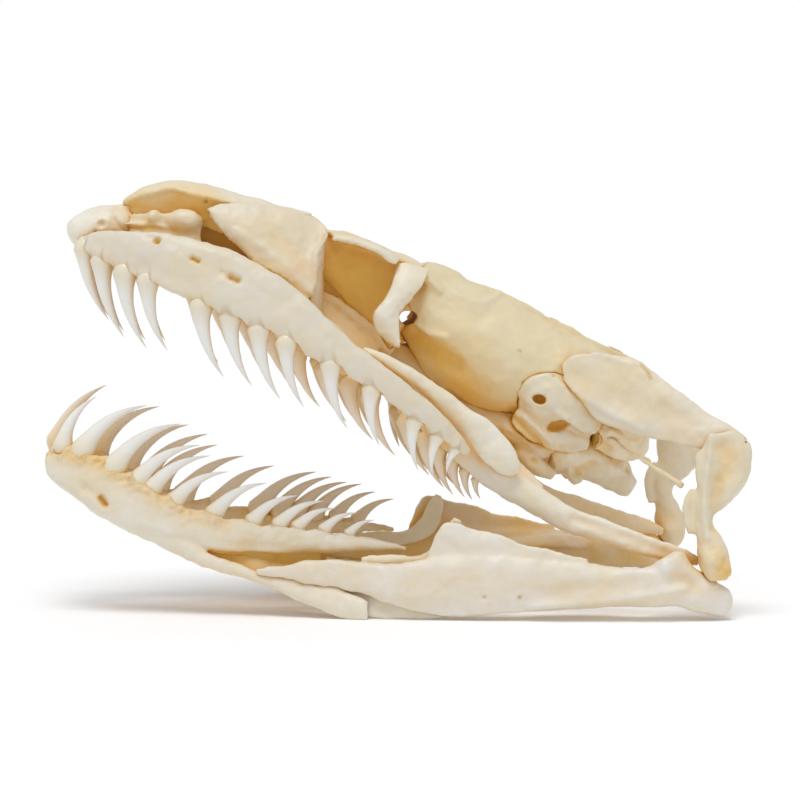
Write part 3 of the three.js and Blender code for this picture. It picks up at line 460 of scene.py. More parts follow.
# Small plate over the orbit
supraorbital = {
    "sheets": [
        {"first": [
            [-13.4, -8.8, 75.8], [-10, -9.6, 75.2], [-6, -9.8, 74], [-2.4, -9.8, 72.4],
            [0.2, -9.6, 70.9],
        ], "second": [
            [-13.7, -10.4, 74.9], [-10, -12.3, 74.5], [-6, -12.8, 73.2], [-2.9, -12.4, 71.4],
            [-0.8, -11.6, 69.9],
        ], "thick": 1.4, "bulge": -0.3},
    ],
    "finish": {"stain": 0.05},
}

# Bar behind the orbit
postorbital = {
    "sheets": [
        {"first": [
            [-0.4, -9.6, 70.2], [-1.3, -11.4, 67.2], [-2.8, -12.8, 63.6], [-4.8, -13.6, 60.9],
            [-5.2, -14, 58.9], [-4.6, -14.2, 56.7], [-3.2, -14.2, 55], [-1.2, -14.1, 53.4],
        ], "second": [
            [6, -8.8, 68.8], [4.8, -10.8, 66.3], [2.6, -12, 63.5], [0.8, -13, 60.8],
            [0.2, -13.6, 58.4], [0.2, -13.9, 56.2], [0.3, -14, 54.4], [0.1, -14, 53],
        ], "thick": 1.6, "bulge": 0.35},
    ],
    "marks": [
        {"at": [[2.4, 66], [1, 63.6], [-0.6, 62]], "radius": 1.2, "depth": 0.12, "rough": 0.35},
        {"at": [[-2.6, 57.6], [-1, 55.8]], "radius": 1.2, "depth": 0.12, "rough": 0.4},
    ],
    "finish": {"stain": 0.03},
    "look": {"ivory": (0.82, 0.80, 0.74, 1)},
}

# Braincase, its crest, and the ridge behind the orbit
parietal = {
    "shafts": [
        {"rows": [
            [0.8, 0, 63, 6.6, 5.2], [4.2, 0, 61.4, 9.4, 7.8],
            [9.5, 0, 57.2, braincaseHalf - 1, 10.4],
            [14.5, 0, 52.4, braincaseHalf - 0.2, 12.2], [20.5, 0, 49, braincaseHalf, 12.4],
            [27, 0, 47.2, braincaseHalf, 11], [33.5, 0, 46, braincaseHalf - 0.2, 9.2],
            [39, 0, 44.8, braincaseHalf - 1.2, 7.6], [43, 0, 43.8, braincaseHalf - 3, 6.2],
        ]},
    ],
    "sheets": [
        {"first": [
            [4.2, 0, 69.6], [11, 0, 67], [21, 0, 63.6], [33, 0, 57.6], [42, 0, 52.9],
            [50.8, 0, 48.6],
        ], "second": [
            [6, 0, 60], [12, 0, 62 - crestHeight], [22, 0, 57 - crestHeight],
            [33, 0, 52 - crestHeight], [42, 0, 49 - crestHeight], [50, 0, 46.6],
        ], "thick": 2.2},
        {"first": [
            [3.4, -8.8, 68.2], [5, -4.6, 69], [5.2, 0, 69.4], [5, 4.6, 69], [3.4, 8.8, 68.2],
        ], "second": [
            [8.6, -8.8, 63.6], [11, -4.6, 64.4], [14, 0, 65], [11, 4.6, 64.4],
            [8.6, 8.8, 63.6],
        ], "thick": 3, "bulge": 0.2},
    ],
    "marks": [
        {"at": [[10.7, 67.5], [14.1, 65.2], [17.5, 64], [19.9, 64.4], [22.3, 65.2]],
         "radius": 0.8, "depth": -0.5},
        {"at": [[9, 64.6], [13, 62.6], [17.5, 61.4], [22, 62.4]],
         "radius": 2.4, "depth": 0.6, "tint": 0.1},
        {"at": [[3, 61.2], [4.9, 59.2], [7, 57.8], [9.9, 57]], "radius": 0.9, "depth": -0.9},
        {"at": [[3.8, 57.2], [6.2, 55], [9.2, 53.4], [12, 51]],
         "radius": 2.2, "depth": 1.7, "tint": 0.25},
        {"at": [[26.3, 39.7]], "radius": 0.4, "depth": 0.5, "dark": 0.5},
        {"at": [[25.4, 54.2]], "radius": 0.35, "depth": 0.4, "dark": 0.4},
        {"at": [[12, 44.4], [18, 41.4], [24, 41]], "radius": 2, "depth": 0.5, "tint": 0.2},
        {"at": [[32, 62], [35.4, 57.4]], "radius": 2.2, "depth": 0.45, "tint": 0.1},
    ],
    "finish": {
        "stain": 0.08,
        # The spots low at the front paint the shade in the recess under the ridge behind the orbit, along
        # with real stain
        "spots": [
            [7.1, 53.3, 4.5, 0.42], [11.2, 48.1, 4.5, 0.42], [15.3, 43.9, 4, 0.4], [14, 54, 6, 0.2],
            [20, 48, 7, 0.18], [3.6, 56.6, 3, 0.5],
        ],
    },
    "look": {"ivory": (0.755, 0.67, 0.47, 1)},
}

# Ear region at the braincase's side
prootic = {
    "shafts": [
        {"rows": [
            [24.6, -8.4, 42.4, 1.6, 2.6], [27.2, -8.6, 42.6, 4, 5],
            [31.4, -8.8, 42.6, 4.4, 5.4], [35.6, -9, 40.6, 4.4, 4.6],
            [39.6, -9.2, 37.6, 3.6, 3], [42.2, -9, 36, 2, 1.8],
        ], "boxy": 2.6},
        {"rows": [
            [23.6, -8.2, 38.4, 1.6, 1.6], [27, -8.6, 36.8, 2.4, 3], [31, -8.8, 34.6, 2.4, 3.2],
            [35.4, -8.8, 33.4, 2.2, 2.6], [39.4, -8.4, 32.8, 1.2, 1.6],
        ], "boxy": 2.6},
    ],
    "marks": [
        {"at": [[24.4, 41.6], [25.6, 45.6], [28.4, 48.4], [31.6, 49], [34, 47]],
         "radius": 0.8, "depth": -0.45},
        {"at": [[30, 43.8]], "radius": 2.6, "depth": 0.45, "tint": 0.1},
        {"at": [[33.2, 41.4], [36, 39.6], [38.6, 37.6]], "radius": 0.7, "depth": -0.5},
        {"at": [[32.4, 49]], "radius": 0.35, "depth": 0.4, "dark": 0.6},
        {"at": [[24.4, 40], [27, 37.2], [30.2, 34.2]], "radius": 0.7, "depth": 0.9},
        {"at": [[26.4, 40.4], [29.2, 37.8], [31.8, 35.2]], "radius": 0.6, "depth": -0.75},
        {"at": [[27.9, 34.4]], "radius": 0.7, "depth": 0.7},
        {"at": [[22.8, 36.6]], "radius": 0.6, "depth": 0.7},
        {"at": [[34.4, 33.6], [37.6, 34.4]], "radius": 1.1, "depth": 0.7},
    ],
    "finish": {
        "stain": 0.08, "swell": 0.16, "ripple": 0.08,
        "spots": [
            [24, 36, 5, 0.3], [28, 33, 4, 0.35],
        ],
    },
    "look": {"ivory": (0.74, 0.695, 0.58, 1)},
}

# Long blade from the braincase to the quadrate
supratemporal = {
    "sheets": [
        {"first": [
            [33.4, -12.2, 49.2], [36.4, -12.2, 51.4], [42.5, -12.4, 51.6], [48.4, -14, 50.6],
            [53.6, -16.6, 46.9], [61.4, -20, 41.2], [67, -22.2, 37.7], [70.4, -23.4, 35.2],
        ], "second": [
            [34.2, -13, 46], [36.2, -13.4, 43], [39.6, -14.2, 39.2], [43.6, -15.4, 36.5],
            [51.6, -18.4, 34.7], [59.4, -21.4, 33.2], [64.8, -23.2, 32.8], [69.4, -24.2, 32.2],
        ], "thick": 2, "bulge": -0.4},
    ],
    "marks": [
        {"at": [[33.6, 52.4], [38, 53.8], [43, 53.2], [48, 51.4]], "radius": 0.9, "depth": -0.35},
        {"at": [[36, 49.6], [41, 46.6], [47, 43.6], [54, 40.6]],
         "radius": 2.2, "depth": 0.45, "tint": 0.1},
        {"at": [[50.4, 51.4], [51.4, 50], [51.8, 48.8]], "radius": 0.35, "depth": 0.4, "dark": 0.4},
        {"at": [[37, 45.6], [43, 42], [50, 38.4]], "radius": 0.9, "depth": -0.4},
        {"at": [[54, 43.4], [60, 39.4]], "radius": 1.4, "depth": 0.4},
        {"at": [[33, 50.6], [34.6, 47.6], [37.4, 44.4]], "radius": 1.2, "depth": 0, "rough": 0.5},
    ],
    "finish": {
        "stain": 0.08, "swell": 0.14, "ripple": 0.07,
        "spots": [
            [37, 46, 3, 0.12], [58, 38, 4, 0.15],
        ],
    },
    "look": {"ivory": (0.755, 0.70, 0.60, 1)},
}

# Top of the braincase's rear
supraoccipital = {
    "shafts": [
        {"rows": [
            [41.5, 0, 43, 7.4, 5.4], [45.5, 0, 41.4, 7.6, 5.6], [49.4, 0, 39.4, 5.6, 4.4],
            [51, 0, 38.6, 3, 2.4],
        ]},
    ],
    "sheets": [
        {"first": [
            [43, 0, 48], [47, 0, 46.4], [51.6, 0, 44.4], [53.4, 0, 42.4],
        ], "second": [
            [43, 0, 43], [47, 0, 41], [51, 0, 39], [52, 0, 38.4],
        ], "thick": 2},
    ],
    "finish": {"stain": 0.3},
}

# Rear side of the braincase, with its wing
exoccipital = {
    "shafts": [
        {"rows": [
            [40.4, -8.6, 35, 2.6, 3.4], [44, -8.4, 34.6, 3.8, 4.6], [47.4, -7.2, 33, 3.8, 4.6],
            [50.2, -5, 30.6, 2.6, 3],
        ]},
        {"rows": [
            [44.6, -9, 36.4, 2, 2.6], [48.6, -12.6, 36.6, 1.8, 2.2],
            [52.4, -15.6, 36.4, 1, 1.4],
        ]},
    ],
    "marks": [
        {"at": [[41.4, 35.4], [43.4, 33.4]], "radius": 1.7, "depth": 1.3},
        {"at": [[47, 34], [50, 31.6]], "radius": 1.1, "depth": 0.6},
        {"at": [[44.6, 37.4], [48.4, 35.4]], "radius": 0.8, "depth": -0.5},
    ],
    "finish": {"stain": 0.05, "swell": 0.3, "ripple": 0.14, "spots": [[42.4, 33.6, 3, 0.4]]},
    "look": {"ivory": (0.86, 0.80, 0.66, 1)},
}

# Rear floor of the braincase, with the condyle and two downward knobs
basioccipital = {
    "shafts": [
        {"rows": [
            [31.2, 0, 29, 7.4, 4.4], [36, 0, 29.8, 8.4, 6], [41, 0, 28.4, 6.8, 5.2],
            [44.8, 0, 25.2, 4.2, 4], [47.4, 0, 23, 3.4, 3.2], [49.2, 0, 21.6, 2.2, 2.2],
        ]},
        {"rows": [
            [36, -4.6, 27.8, 1.8, 2], [36.4, -5.4, 25.4, 1.8, 2], [37, -5.6, 23.4, 1.1, 1.1],
        ]},
        {"rows": [
            [36, 4.6, 27.8, 1.8, 2], [36.4, 5.4, 25.4, 1.8, 2], [37, 5.6, 23.4, 1.1, 1.1],
        ]},
    ],
    "marks": [
        {"at": [[38.5, 28.4], [41.5, 29.6]], "radius": 1.4, "depth": 1.1},
        {"at": [[35, 27.4]], "radius": 1.2, "depth": 1},
        {"at": [[45, 29.4], [48, 28]], "radius": 1, "depth": -0.6},
        {"at": [[49.6, 28.4]], "radius": 1, "depth": 0.8},
    ],
    "finish": {"stain": 0.04, "swell": 0.3, "ripple": 0.16},
    "look": {"ivory": (0.86, 0.80, 0.66, 1)},
}

# Floor of the braincase and the long rod in front of it
parasphenoid = {
    "shafts": [
        {"rows": [
            [-18, 0, 61.6, 1, 1], [-8, 0, 55, 2.2, 2.2], [0, 0, 49.4, 3, 3.4],
            [6, 0, 45.2, 4, 4], [13, 0, 40.2, 6, 4.4], [20, 0, 36.2, 7.8, 5],
            [27, 0, 33.4, 8.6, 5.6], [32.4, 0, 31.4, 8, 5],
        ]},
        {"rows": [
            [24, -6, 31.4, 1.8, 1.8], [28.4, -7.4, 27.8, 1.8, 2], [32.2, -7, 25.2, 1.1, 1.1],
        ]},
        {"rows": [
            [24, 6, 31.4, 1.8, 1.8], [28.4, 7.4, 27.8, 1.8, 2], [32.2, 7, 25.2, 1.1, 1.1],
        ]},
    ],
    "marks": [
        {"at": [[21, 36], [24.6, 33.6]], "radius": 1.1, "depth": 0.8},
        {"at": [[24.6, 31.6]], "radius": 0.8, "depth": 0.9},
        {"at": [[28.6, 31.4]], "radius": 0.9, "depth": 0.9},
        {"at": [[23, 38], [27, 35.4], [31, 31.8]], "radius": 0.7, "depth": -0.6},
    ],
    "finish": {"stain": 0.14, "swell": 0.24, "ripple": 0.12},
}

# Strut from the supratemporal to the lower jaw, with the thin flange in front
quadrate = {
    "shafts": [
        {"rows": [
            [64.4, -23.4, 36.4, 1.6, 3.2], [65.2, -23.6, 33.6, 2.1, 5.9],
            [65.2, -24, 30.2, 2.1, 6.1], [63.8, -24.4, 26, 2, 4.9],
            [61.6, -25, 21.8, 1.9, 2.6], [61.3, -25.7, 18, 2, 2.1],
            [62.2, -26.6, 14.6, 2.6, 2.8], [62.9, -27.1, 12, 4, 3.2],
            [63.4, -27.2, 9.6, 3.8, 3.2], [63.6, -27.2, 7.6, 3, 2.4],
        ]},
        {"rows": [
            [58.6, -24.2, 26, 0.5, 0.6], [57.9, -24.5, 23, 0.6, 1.1], [58, -24.8, 20, 0.6, 1],
            [58.6, -25.2, 16.8, 0.5, 0.6],
        ]},
    ],
    "sheets": [
        {"first": [
            [61, -24.8, 28], [60.6, -25.2, 22], [60.8, -25.8, 16],
        ], "second": [
            [58.8, -24.2, 25.6], [58.2, -24.6, 21.4], [58.8, -25.2, 17],
        ], "thick": 0.9},
    ],
    "marks": [
        {"at": [[63.4, 38.2], [62.9, 34.4], [62.3, 30.5], [61.7, 26], [61.6, 21.5], [62, 17]],
         "radius": 0.8, "depth": -0.9, "tint": 0.4},
        {"at": [[65.6, 35.4], [66.4, 33], [66, 30.6]], "radius": 2, "depth": 1.15, "tint": 0.26},
        {"at": [[64.6, 28.4], [64, 24], [64, 19]], "radius": 1.2, "depth": 1.1, "tint": 0.16},
        {"at": [[69.4, 34.6], [69.6, 31.6]], "radius": 1.4, "depth": -0.1, "rough": 0.25},
        {"at": [[69, 28.6], [66.8, 24.8]], "radius": 1, "depth": -0.4},
        {"at": [[64.6, 13.6], [65.4, 10.4]], "radius": 2.2, "depth": 0.1, "rough": 0.9},
    ],
    "finish": {
        "stain": 0.04, "inner": 0.12, "swell": 0.12, "ripple": 0.06,
        "spots": [
            [62, 15, 3, 0.22], [66, 10, 2.6, 0.4],
        ],
    },
    "look": {"ivory": (0.76, 0.70, 0.57, 1)},
}

# Ear rod from the braincase to the quadrate
stapes = {
    "shafts": [
        {"rows": [
            [42.4, -10.8, 34.4, 0.9, 0.9], [44.4, -12.9, 33.3, 0.5, 0.5], [48.8, -16, 30.8, 0.45, 0.45],
            [53, -18.8, 28.2, 0.6, 0.6], [57.2, -21.2, 25.6, 0.75, 0.75],
        ]},
    ],
    "finish": {"stain": 0.15},
}

# Upper jaw
maxilla = {
    "shafts": [
        {"rows": [
            [-65.6, -5.8, 74.6, 0.6, 0.7, 0], [-61.6, -8.2, 74, 1.5, 3, -6],
            [-56.4, -11, 73.2, 1.7, 4.2, -8], [-48.6, -13.9, 71.8, 1.7, 5.3, -10],
            [-41, -16.3, 69.6, 1.8, 6.2, -12], [-33, -18.3, 66.6, 2, 6.3, -12],
            [-25.2, -19.6, 62.4, 2.1, 5.8, -10], [-18.4, -20.6, 57.7, 2.2, 4.6, -6],
            [-10, -21.7, 52.1, 2.2, 3.3, -2], [-1, -22.2, 46, 2.1, 2.7, 0],
            [7.3, -21.7, 39.2, 1.9, 2.3, 0], [12.2, -20.9, 34.6, 1.3, 1.4, 0],
            [14.2, -20.5, 32.6, 0.5, 0.6, 0],
        ], "boxy": 2.5},
    ],
    "sheets": [
        {"first": [
            [-18, -20, 58.4], [-13.4, -20.6, 55], [-8.6, -21, 51.6],
        ], "second": [
            [-16.4, -14.4, 60.4], [-13, -13.4, 58], [-9.6, -15, 54.6],
        ], "thick": 1.8},
    ],
    "marks": [
        {"at": [[-49.4, 77.6]], "radius": 0.7, "depth": 1.4, "ring": 0.25, "dark": 0.04},
        {"at": [[-42.3, 74.1], [-41.2, 73.5]], "radius": 0.5, "depth": 1.2, "dark": 0.12},
        {"at": [[-34.6, 70.5], [-33.2, 69.8]], "radius": 0.6, "depth": 1.4, "dark": 0.12},
        {"at": [[-36.4, 71.4], [-35, 70.8]], "radius": 0.5, "depth": 0.45},
        {"at": [[-51.4, 78.6], [-50.4, 78.2]], "radius": 0.6, "depth": 0.4},
        {"at": [[-60, 78], [-52, 80.4], [-44, 79]], "radius": 1, "depth": -0.15},
        {"at": [[-58, 73], [-48, 71], [-38, 68]], "radius": 2, "depth": 0.35, "tint": 0},
        {"at": [[-27, 67], [-20, 62], [-12, 56]], "radius": 1.6, "depth": 0.3, "tint": 0},
    ],
    "finish": {"stain": 0.04, "spots": [[-60, 75.4, 4, 0.08], [-26, 62, 5, 0.06]]},
    "look": {"ivory": (0.725, 0.67, 0.575, 1)},
}

# Brace from the maxilla to the pterygoid
ectopterygoid = {
    "shafts": [
        {"rows": [
            [-7.2, -20, 53.6, 0.7, 0.6, 0], [-4.4, -19.4, 51.8, 1.4, 1.3, 0],
            [1.4, -18.9, 48.6, 1.6, 1.6, 0], [8, -18.2, 43.4, 1.5, 2, 0],
            [14.8, -17.6, 37.8, 1.3, 3, 0], [20, -17, 32.2, 1.2, 3.4, 0],
            [23, -16.8, 28.9, 1, 2.2, 0], [24.2, -16.8, 27.6, 0.6, 1.1, 0],
        ], "boxy": 2.3},
    ],
    "finish": {"stain": 0.01},
    "look": {"ivory": (0.85, 0.81, 0.71, 1)},
}

# Front part of the inner tooth row
palatine = {
    "shafts": [
        {"rows": [
            [-41, -6.8, 66.4, 0.7, 0.9], [-37, -7.4, 65.6, 1.5, 2],
            [-29.6, -8.6, 61.8, 1.7, 2.6], [-21, -9.2, 56.4, 1.7, 3.1],
            [-12, -9.6, 50.8, 1.7, 3.3], [-4.4, -9.8, 45.6, 1.5, 3],
            [-1.6, -9.8, 43.6, 0.7, 1.4],
        ]},
        {"rows": [
            [-19, -3.4, 64.2, 0.7, 0.7], [-14.4, -4, 62, 1, 1.1], [-9.6, -4.6, 58.9, 1.1, 1.5],
            [-5, -5, 55, 1.1, 1.7], [-1.4, -5.4, 51.6, 0.9, 1.3],
        ]},
    ],
    "sheets": [
        {"first": [
            [-27, -9.6, 62], [-21, -10, 58.6], [-15, -10.2, 55],
        ], "second": [
            [-22.6, -12.6, 62.4], [-19, -13.2, 60], [-15.4, -12.6, 57],
        ], "thick": 1.3},
        {"first": [
            [-32, -7.6, 64.6], [-23, -8.2, 60], [-13, -8.8, 54], [-4, -9, 48.4],
        ], "second": [
            [-28, -2.6, 67.6], [-20.6, -3, 64.6], [-12.4, -4, 60.4], [-4.6, -4.8, 54],
        ], "thick": 1.2},
    ],
    "finish": {"stain": 0.26, "inner": 0.2},
    # Painted shade over the whole of this inner tooth row
    "toothShade": 0.7,
}

# Rear part of the inner tooth row, reaching back to the quadrate
pterygoid = {
    "shafts": [
        {"rows": [
            [-0.2, -9.9, 42.4, 0.7, 1.2], [2.8, -10.2, 40.4, 1.6, 3],
            [8.6, -11, 35.8, 1.8, 3.6], [15, -12, 31, 2, 3.6], [21.4, -13.4, 26, 2, 3.3],
            [28, -15, 21.8, 1.7, 3], [35.4, -17.4, 18, 1.4, 2.8], [43.4, -20, 15.6, 1.2, 2.4],
            [51, -22, 13.4, 1.1, 2], [57.4, -22.9, 11.8, 1, 1.6], [60.6, -23, 10.8, 0.6, 0.9],
        ]},
        {"rows": [
            [16, -12.4, 30.4, 1.2, 1.6], [20.4, -14.4, 28, 1.3, 1.6],
            [24.6, -15.2, 25, 1, 1.4],
        ]},
    ],
    "sheets": [
        {"first": [
            [6, -10.4, 41.4], [14, -11, 34.6], [22, -12.4, 27.6], [30, -14.6, 22.6],
        ], "second": [
            [10, -7.8, 43.4], [16, -7.4, 38], [23, -8.6, 31], [30, -12.6, 24.4],
        ], "thick": 1.3},
    ],
    "marks": [
        {"at": [[36, 20], [46, 16.6], [54, 13.6]], "radius": 1.1, "depth": 0.4},
    ],
    "finish": {"stain": 0.04, "spots": [[2, 42, 6, 0.35], [10, 36, 5, 0.25]]},
    # Painted shade over the whole of this inner tooth row
    "toothShade": 0.7,
    "look": {"ivory": (0.81, 0.79, 0.73, 1)},
}

# Front half of the lower jaw
dentary = {
    "shafts": [
        {"rows": [
            [-72.4, -3.4, 30.9, 1.1, 1.8], [-70.2, -4.2, 28.9, 2, 3.8],
            [-66, -5.8, 27, 2.4, 5], [-60, -7.6, 23.9, 2.6, 5.5], [-53.6, -9, 20.4, 2.6, 5.3],
            [-47.6, -10, 17.4, 2.4, 4.6], [-41, -10.8, 16, 2.1, 4],
            [-32, -11.6, 14.6, 1.9, 3.2], [-22, -12.6, 13.9, 1.8, 2.6],
            [-12, -13.6, 13.4, 1.7, 2], [-4, -14.4, 13, 1.3, 1.2],
            [1.6, -15.2, 12.6, 0.6, 0.5],
        ], "boxy": 2.5},
    ],
    "sheets": [
        {"first": [
            [-56, -10, 20], [-47, -11.4, 15.4], [-38, -12.6, 11.2], [-29, -14.2, 8.2],
            [-20, -16.2, 6.2], [-12, -18.2, 5.2], [-6, -20, 3],
        ], "second": [
            [-56, -9.8, 16], [-47, -11, 11.4], [-38, -12.8, 8.1], [-29, -14.8, 5.8],
            [-20, -17.2, 2.6], [-12, -19.4, -0.4], [-6, -20.8, -1.4],
        ], "thick": 1.8, "bulge": -0.3},
    ],
    "marks": [
        {"at": [[-64.6, 26.4], [-62.4, 25], [-60.8, 23.4]], "radius": 1.1, "depth": 0.7, "tint": 0.1},
        {"at": [[-61.2, 24.4], [-60.4, 22.9]], "radius": 0.5, "depth": 1.3, "dark": 0.12},
        {"at": [[-71, 33.4], [-66, 33], [-60, 31], [-52, 26], [-44, 21.8], [-36, 19.4]],
         "radius": 1.9, "depth": 0.05, "rough": 0.85},
        {"at": [[-46, 16.8], [-36, 14.8], [-24, 14.4]], "radius": 1, "depth": 0.3, "tint": 0.1},
        {"at": [[-52, 19], [-40, 15.4], [-30, 12.6]], "radius": 1, "depth": -0.2},
        {"at": [[-30, 12.4], [-22, 11.6]], "radius": 1, "depth": 0, "rough": 0.6},
    ],
    "finish": {
        "stain": 0.06,
        "spots": [
            [-66, 32, 4, 0.16], [-57, 30, 4, 0.16], [-49, 24.5, 4, 0.14], [-60, 21, 3, 0.1],
            [-33, 13, 3, 0.25],
        ],
    },
    "sockets": {"rise": 0.15, "arch": 0.3, "pull": 0.45, "dark": 0.3, "rough": 0.3, "mound": 0.65},
    "look": {"ivory": (0.80, 0.76, 0.675, 1)},
    "lumps": [{"centre": [-71.5, -4.4, 34.8], "radii": [1.3, 1.3, 1.7]}],
}

# Plate on the inner side of the dentary
splenial = {
    "sheets": [
        {"first": [
            [-47, -8.6, 14], [-39, -9.6, 11.6], [-30, -11, 10], [-21, -12.8, 8.8],
            [-14, -14.6, 7.6],
        ], "second": [
            [-47, -8.8, 12], [-39, -10.6, 8.4], [-30, -12.8, 6], [-21, -15.2, 3.6],
            [-14, -16.8, 2.2],
        ], "thick": 1.1},
    ],
    "finish": {"stain": 0.6},
}

# Plate below the place where dentary and compound meet
angular = {
    "sheets": [
        {"first": [
            [-13, -15.6, 6.8], [-5, -17.4, 6], [4, -19.4, 5.4], [14, -21.2, 4.6],
        ], "second": [
            [-13, -17.4, 1], [-5, -19.6, -0.6], [4, -21.2, -1], [14, -22.4, 0.6],
        ], "thick": 1.2},
    ],
    "finish": {"stain": 0.12},
}

# Small plate at the lower jaw's rise
coronoid = {
    "sheets": [
        {"first": [
            [11.2, -19.4, 19.8], [9.4, -19.2, 17.4], [7.6, -18.8, 14.4], [4.2, -18.2, 12],
            [-2.4, -17.8, 11.8], [-8, -17.2, 11.2],
        ], "second": [
            [12.7, -19.6, 19], [12.9, -19.6, 16], [11.8, -19.4, 12.4], [8.4, -19.2, 9.8],
            [2.4, -18.6, 8.8], [-7.4, -17.6, 9.4],
        ], "thick": 1.1, "bulge": 0.4},
    ],
    "finish": {"stain": 0, "inner": 0},
    "look": {"ivory": (0.88, 0.82, 0.68, 1)},
}

# Rear half of the lower jaw, with the joint surface
compound = {
    "shafts": [
        {"rows": [
            [-29, -15.6, 8.3, 0.5, 0.6], [-24, -16.3, 8.3, 1, 1.6], [-16, -17.6, 8, 1.3, 2.8],
            [-8, -19, 7.8, 1.5, 3.2], [0, -20.8, 6.4, 1.9, 4.6], [9, -22.4, 6.4, 2.3, 6.4],
            [19, -23.8, 6.8, 2.5, 6.2], [30, -25.2, 7.1, 2.5, 5.3], [40, -26.2, 6.7, 2.6, 4.4],
            [49, -26.8, 6.5, 2.9, 4], [56, -27, 7, 3.4, 4.2], [61, -27.2, 4.9, 3, 3.7],
            [65, -27.2, 3.2, 2.3, 3], [66.4, -27.2, 2.8, 1.2, 1.6],
        ], "boxy": 2.3},
        {"rows": [
            [55.2, -27, 7.6, 3.4, 6.6], [55.2, -27, 9.6, 3.4, 5.4], [55.4, -27, 11.4, 3, 3.3],
            [55.6, -27, 12.9, 2.4, 1.7], [55.6, -27, 13.7, 1.6, 0.8],
        ]},
    ],
    "sheets": [
        {"first": [
            [5.6, -21.6, 12.8], [7.8, -21.8, 16.8], [10.4, -22.1, 19.2], [15.4, -22.8, 17.9],
            [22.4, -24, 15.9], [30, -25.2, 13.9], [38, -26, 12.2],
        ], "second": [
            [5, -21.4, 7], [8, -22.2, 7], [11.6, -22.8, 7], [16, -23.4, 7], [23, -24.4, 7],
            [31, -25.4, 7], [38, -26.2, 7],
        ], "thick": 1.8},
        {"first": [
            [26, -23.6, 9.6], [36, -24, 10.2], [46, -24.8, 9.6],
        ], "second": [
            [26, -20.6, 7.6], [36, -20.8, 8], [46, -23, 7.4],
        ], "thick": 1.4},
    ],
    "marks": [
        {"at": [[26, 3.2], [34, 3.9], [42, 4.7], [50, 5.7], [57.3, 7.2]],
         "radius": 0.9, "depth": -0.75, "tint": 0.1},
        {"at": [[28, 6.2], [38, 7.2], [48, 8.4]], "radius": 1.7, "depth": 0.6, "tint": 0.1},
        {"at": [[55.6, 8.8], [58.8, 7.4]], "radius": 1.9, "depth": 1.1, "tint": 0.1},
        {"at": [[52.4, 13.6], [53.2, 10.6]], "radius": 1, "depth": -0.5},
        {"at": [[61, 10], [63.6, 7.4]], "radius": 1.4, "depth": 0, "rough": 0.6},
        {"at": [[23.7, 5.1]], "radius": 0.35, "depth": 0.35, "dark": 0.8},
        {"at": [[16.5, 5.1]], "radius": 0.3, "depth": 0.3, "dark": 0.6},
        {"at": [[-10, 9], [4, 8.6], [18, 9.4], [30, 9.4]], "radius": 1.6, "depth": 0.16},
    ],
    "finish": {
        "stain": 0.06, "inner": 0.6,
        "spots": [
            [10.5, 19, 5, -0.5], [57, 8.4, 2.4, 0.2], [40, 2.6, 4, 0.12], [58, 13, 3, 0.15],
        ],
    },
    "look": {"ivory": (0.79, 0.76, 0.72, 1)},
}

# Edges that carry the teeth
maxillaLower = [
    [-65, -5.6, 73.6], [-57, -10.6, 69.2], [-49, -14.2, 66.6], [-41.4, -16.9, 63],
    [-32.4, -19.2, 60], [-24.7, -20.7, 56.3], [-17.7, -21.6, 53.2], [-8, -22.4, 47.8],
    [-0.5, -22.5, 42.4], [7.3, -21.8, 36.5], [14, -20.5, 32],
]

palatineLower = [
    [-39, -7.2, 64.4], [-30, -8.8, 59.2], [-21, -9.4, 52.6], [-12, -9.8, 46.8], [-4, -10, 41.8],
]

pterygoidLower = [
    [0.4, -10.2, 39], [5.4, -10.8, 34.4], [10.8, -11.6, 29.8], [16, -12.4, 25.8],
]

dentaryUpper = [
    [-71.6, -mandibleTipSpread, 32.4], [-66.2, -5.4, 31.8], [-59.4, -7.4, 28.9],
    [-54.1, -8.5, 25.5], [-49.9, -9.1, 22.9], [-42.6, -10, 20.1], [-32.8, -11, 17.9],
    [-23, -12, 16.6], [-12.9, -13, 15.5], [-4.3, -14, 13.9],
]

# Rows of teeth: places along the edge, lengths and leans from the first tooth to the last
maxillaRow = {
    "places": [0.009, 0.058, 0.12, 0.181, 0.323, 0.388, 0.46, 0.537, 0.646, 0.735, 0.848, 0.907, 0.962],
    "longest": longestTooth + 0.3,
    "shortest": 5.2,
    "first": 1,
    "fall": 3.2,
    "leanFront": 15.5,
    "leanBack": -20,
    "leanFall": 6,
    "hook": 0.07,
    "splay": 0.02,
    "up": -1,
}

palatineRow = {
    "places": [0.04, 0.2, 0.36, 0.51, 0.66, 0.8, 0.94],
    "longest": 11,
    "shortest": 13,
    "first": 1,
    "fall": 1,
    "leanFront": 20,
    "leanBack": 22,
    "leanFall": 1,
    "hook": 0.08,
    "splay": 0,
    "up": -1,
}

pterygoidRow = {
    "places": [0.08, 0.32, 0.5, 0.68, 0.84, 0.98],
    "longest": 12.6,
    "shortest": 4.4,
    "first": 1,
    "fall": 1.1,
    "leanFront": 22,
    "leanBack": 14,
    "leanFall": 1,
    "hook": 0.08,
    "splay": 0,
    "up": -1,
}

dentaryRow = {
    "places": [0.041, 0.125, 0.238, 0.339, 0.416, 0.506, 0.61, 0.699, 0.761, 0.802, 0.86, 0.921],
    "longest": longestTooth + 1,
    "shortest": 6.2,
    "first": 0.73,
    "fall": 1.5,
    "leanFront": 34,
    "leanBack": 62,
    "leanFall": 0.12,
    "hook": 0.1,
    "splay": 0,
    "up": 1,
}

dentaryRightRow = {
    **dentaryRow,
    "places": [0.015, 0.175, 0.295, 0.393, 0.46, 0.54, 0.628, 0.723, 0.775, 0.815, 0.858, 0.91, 0.97],
    "shortest": 8.8,
    "first": 1,
    "fall": 2.4,
    "leanFront": 41,
    "leanBack": 58,
}


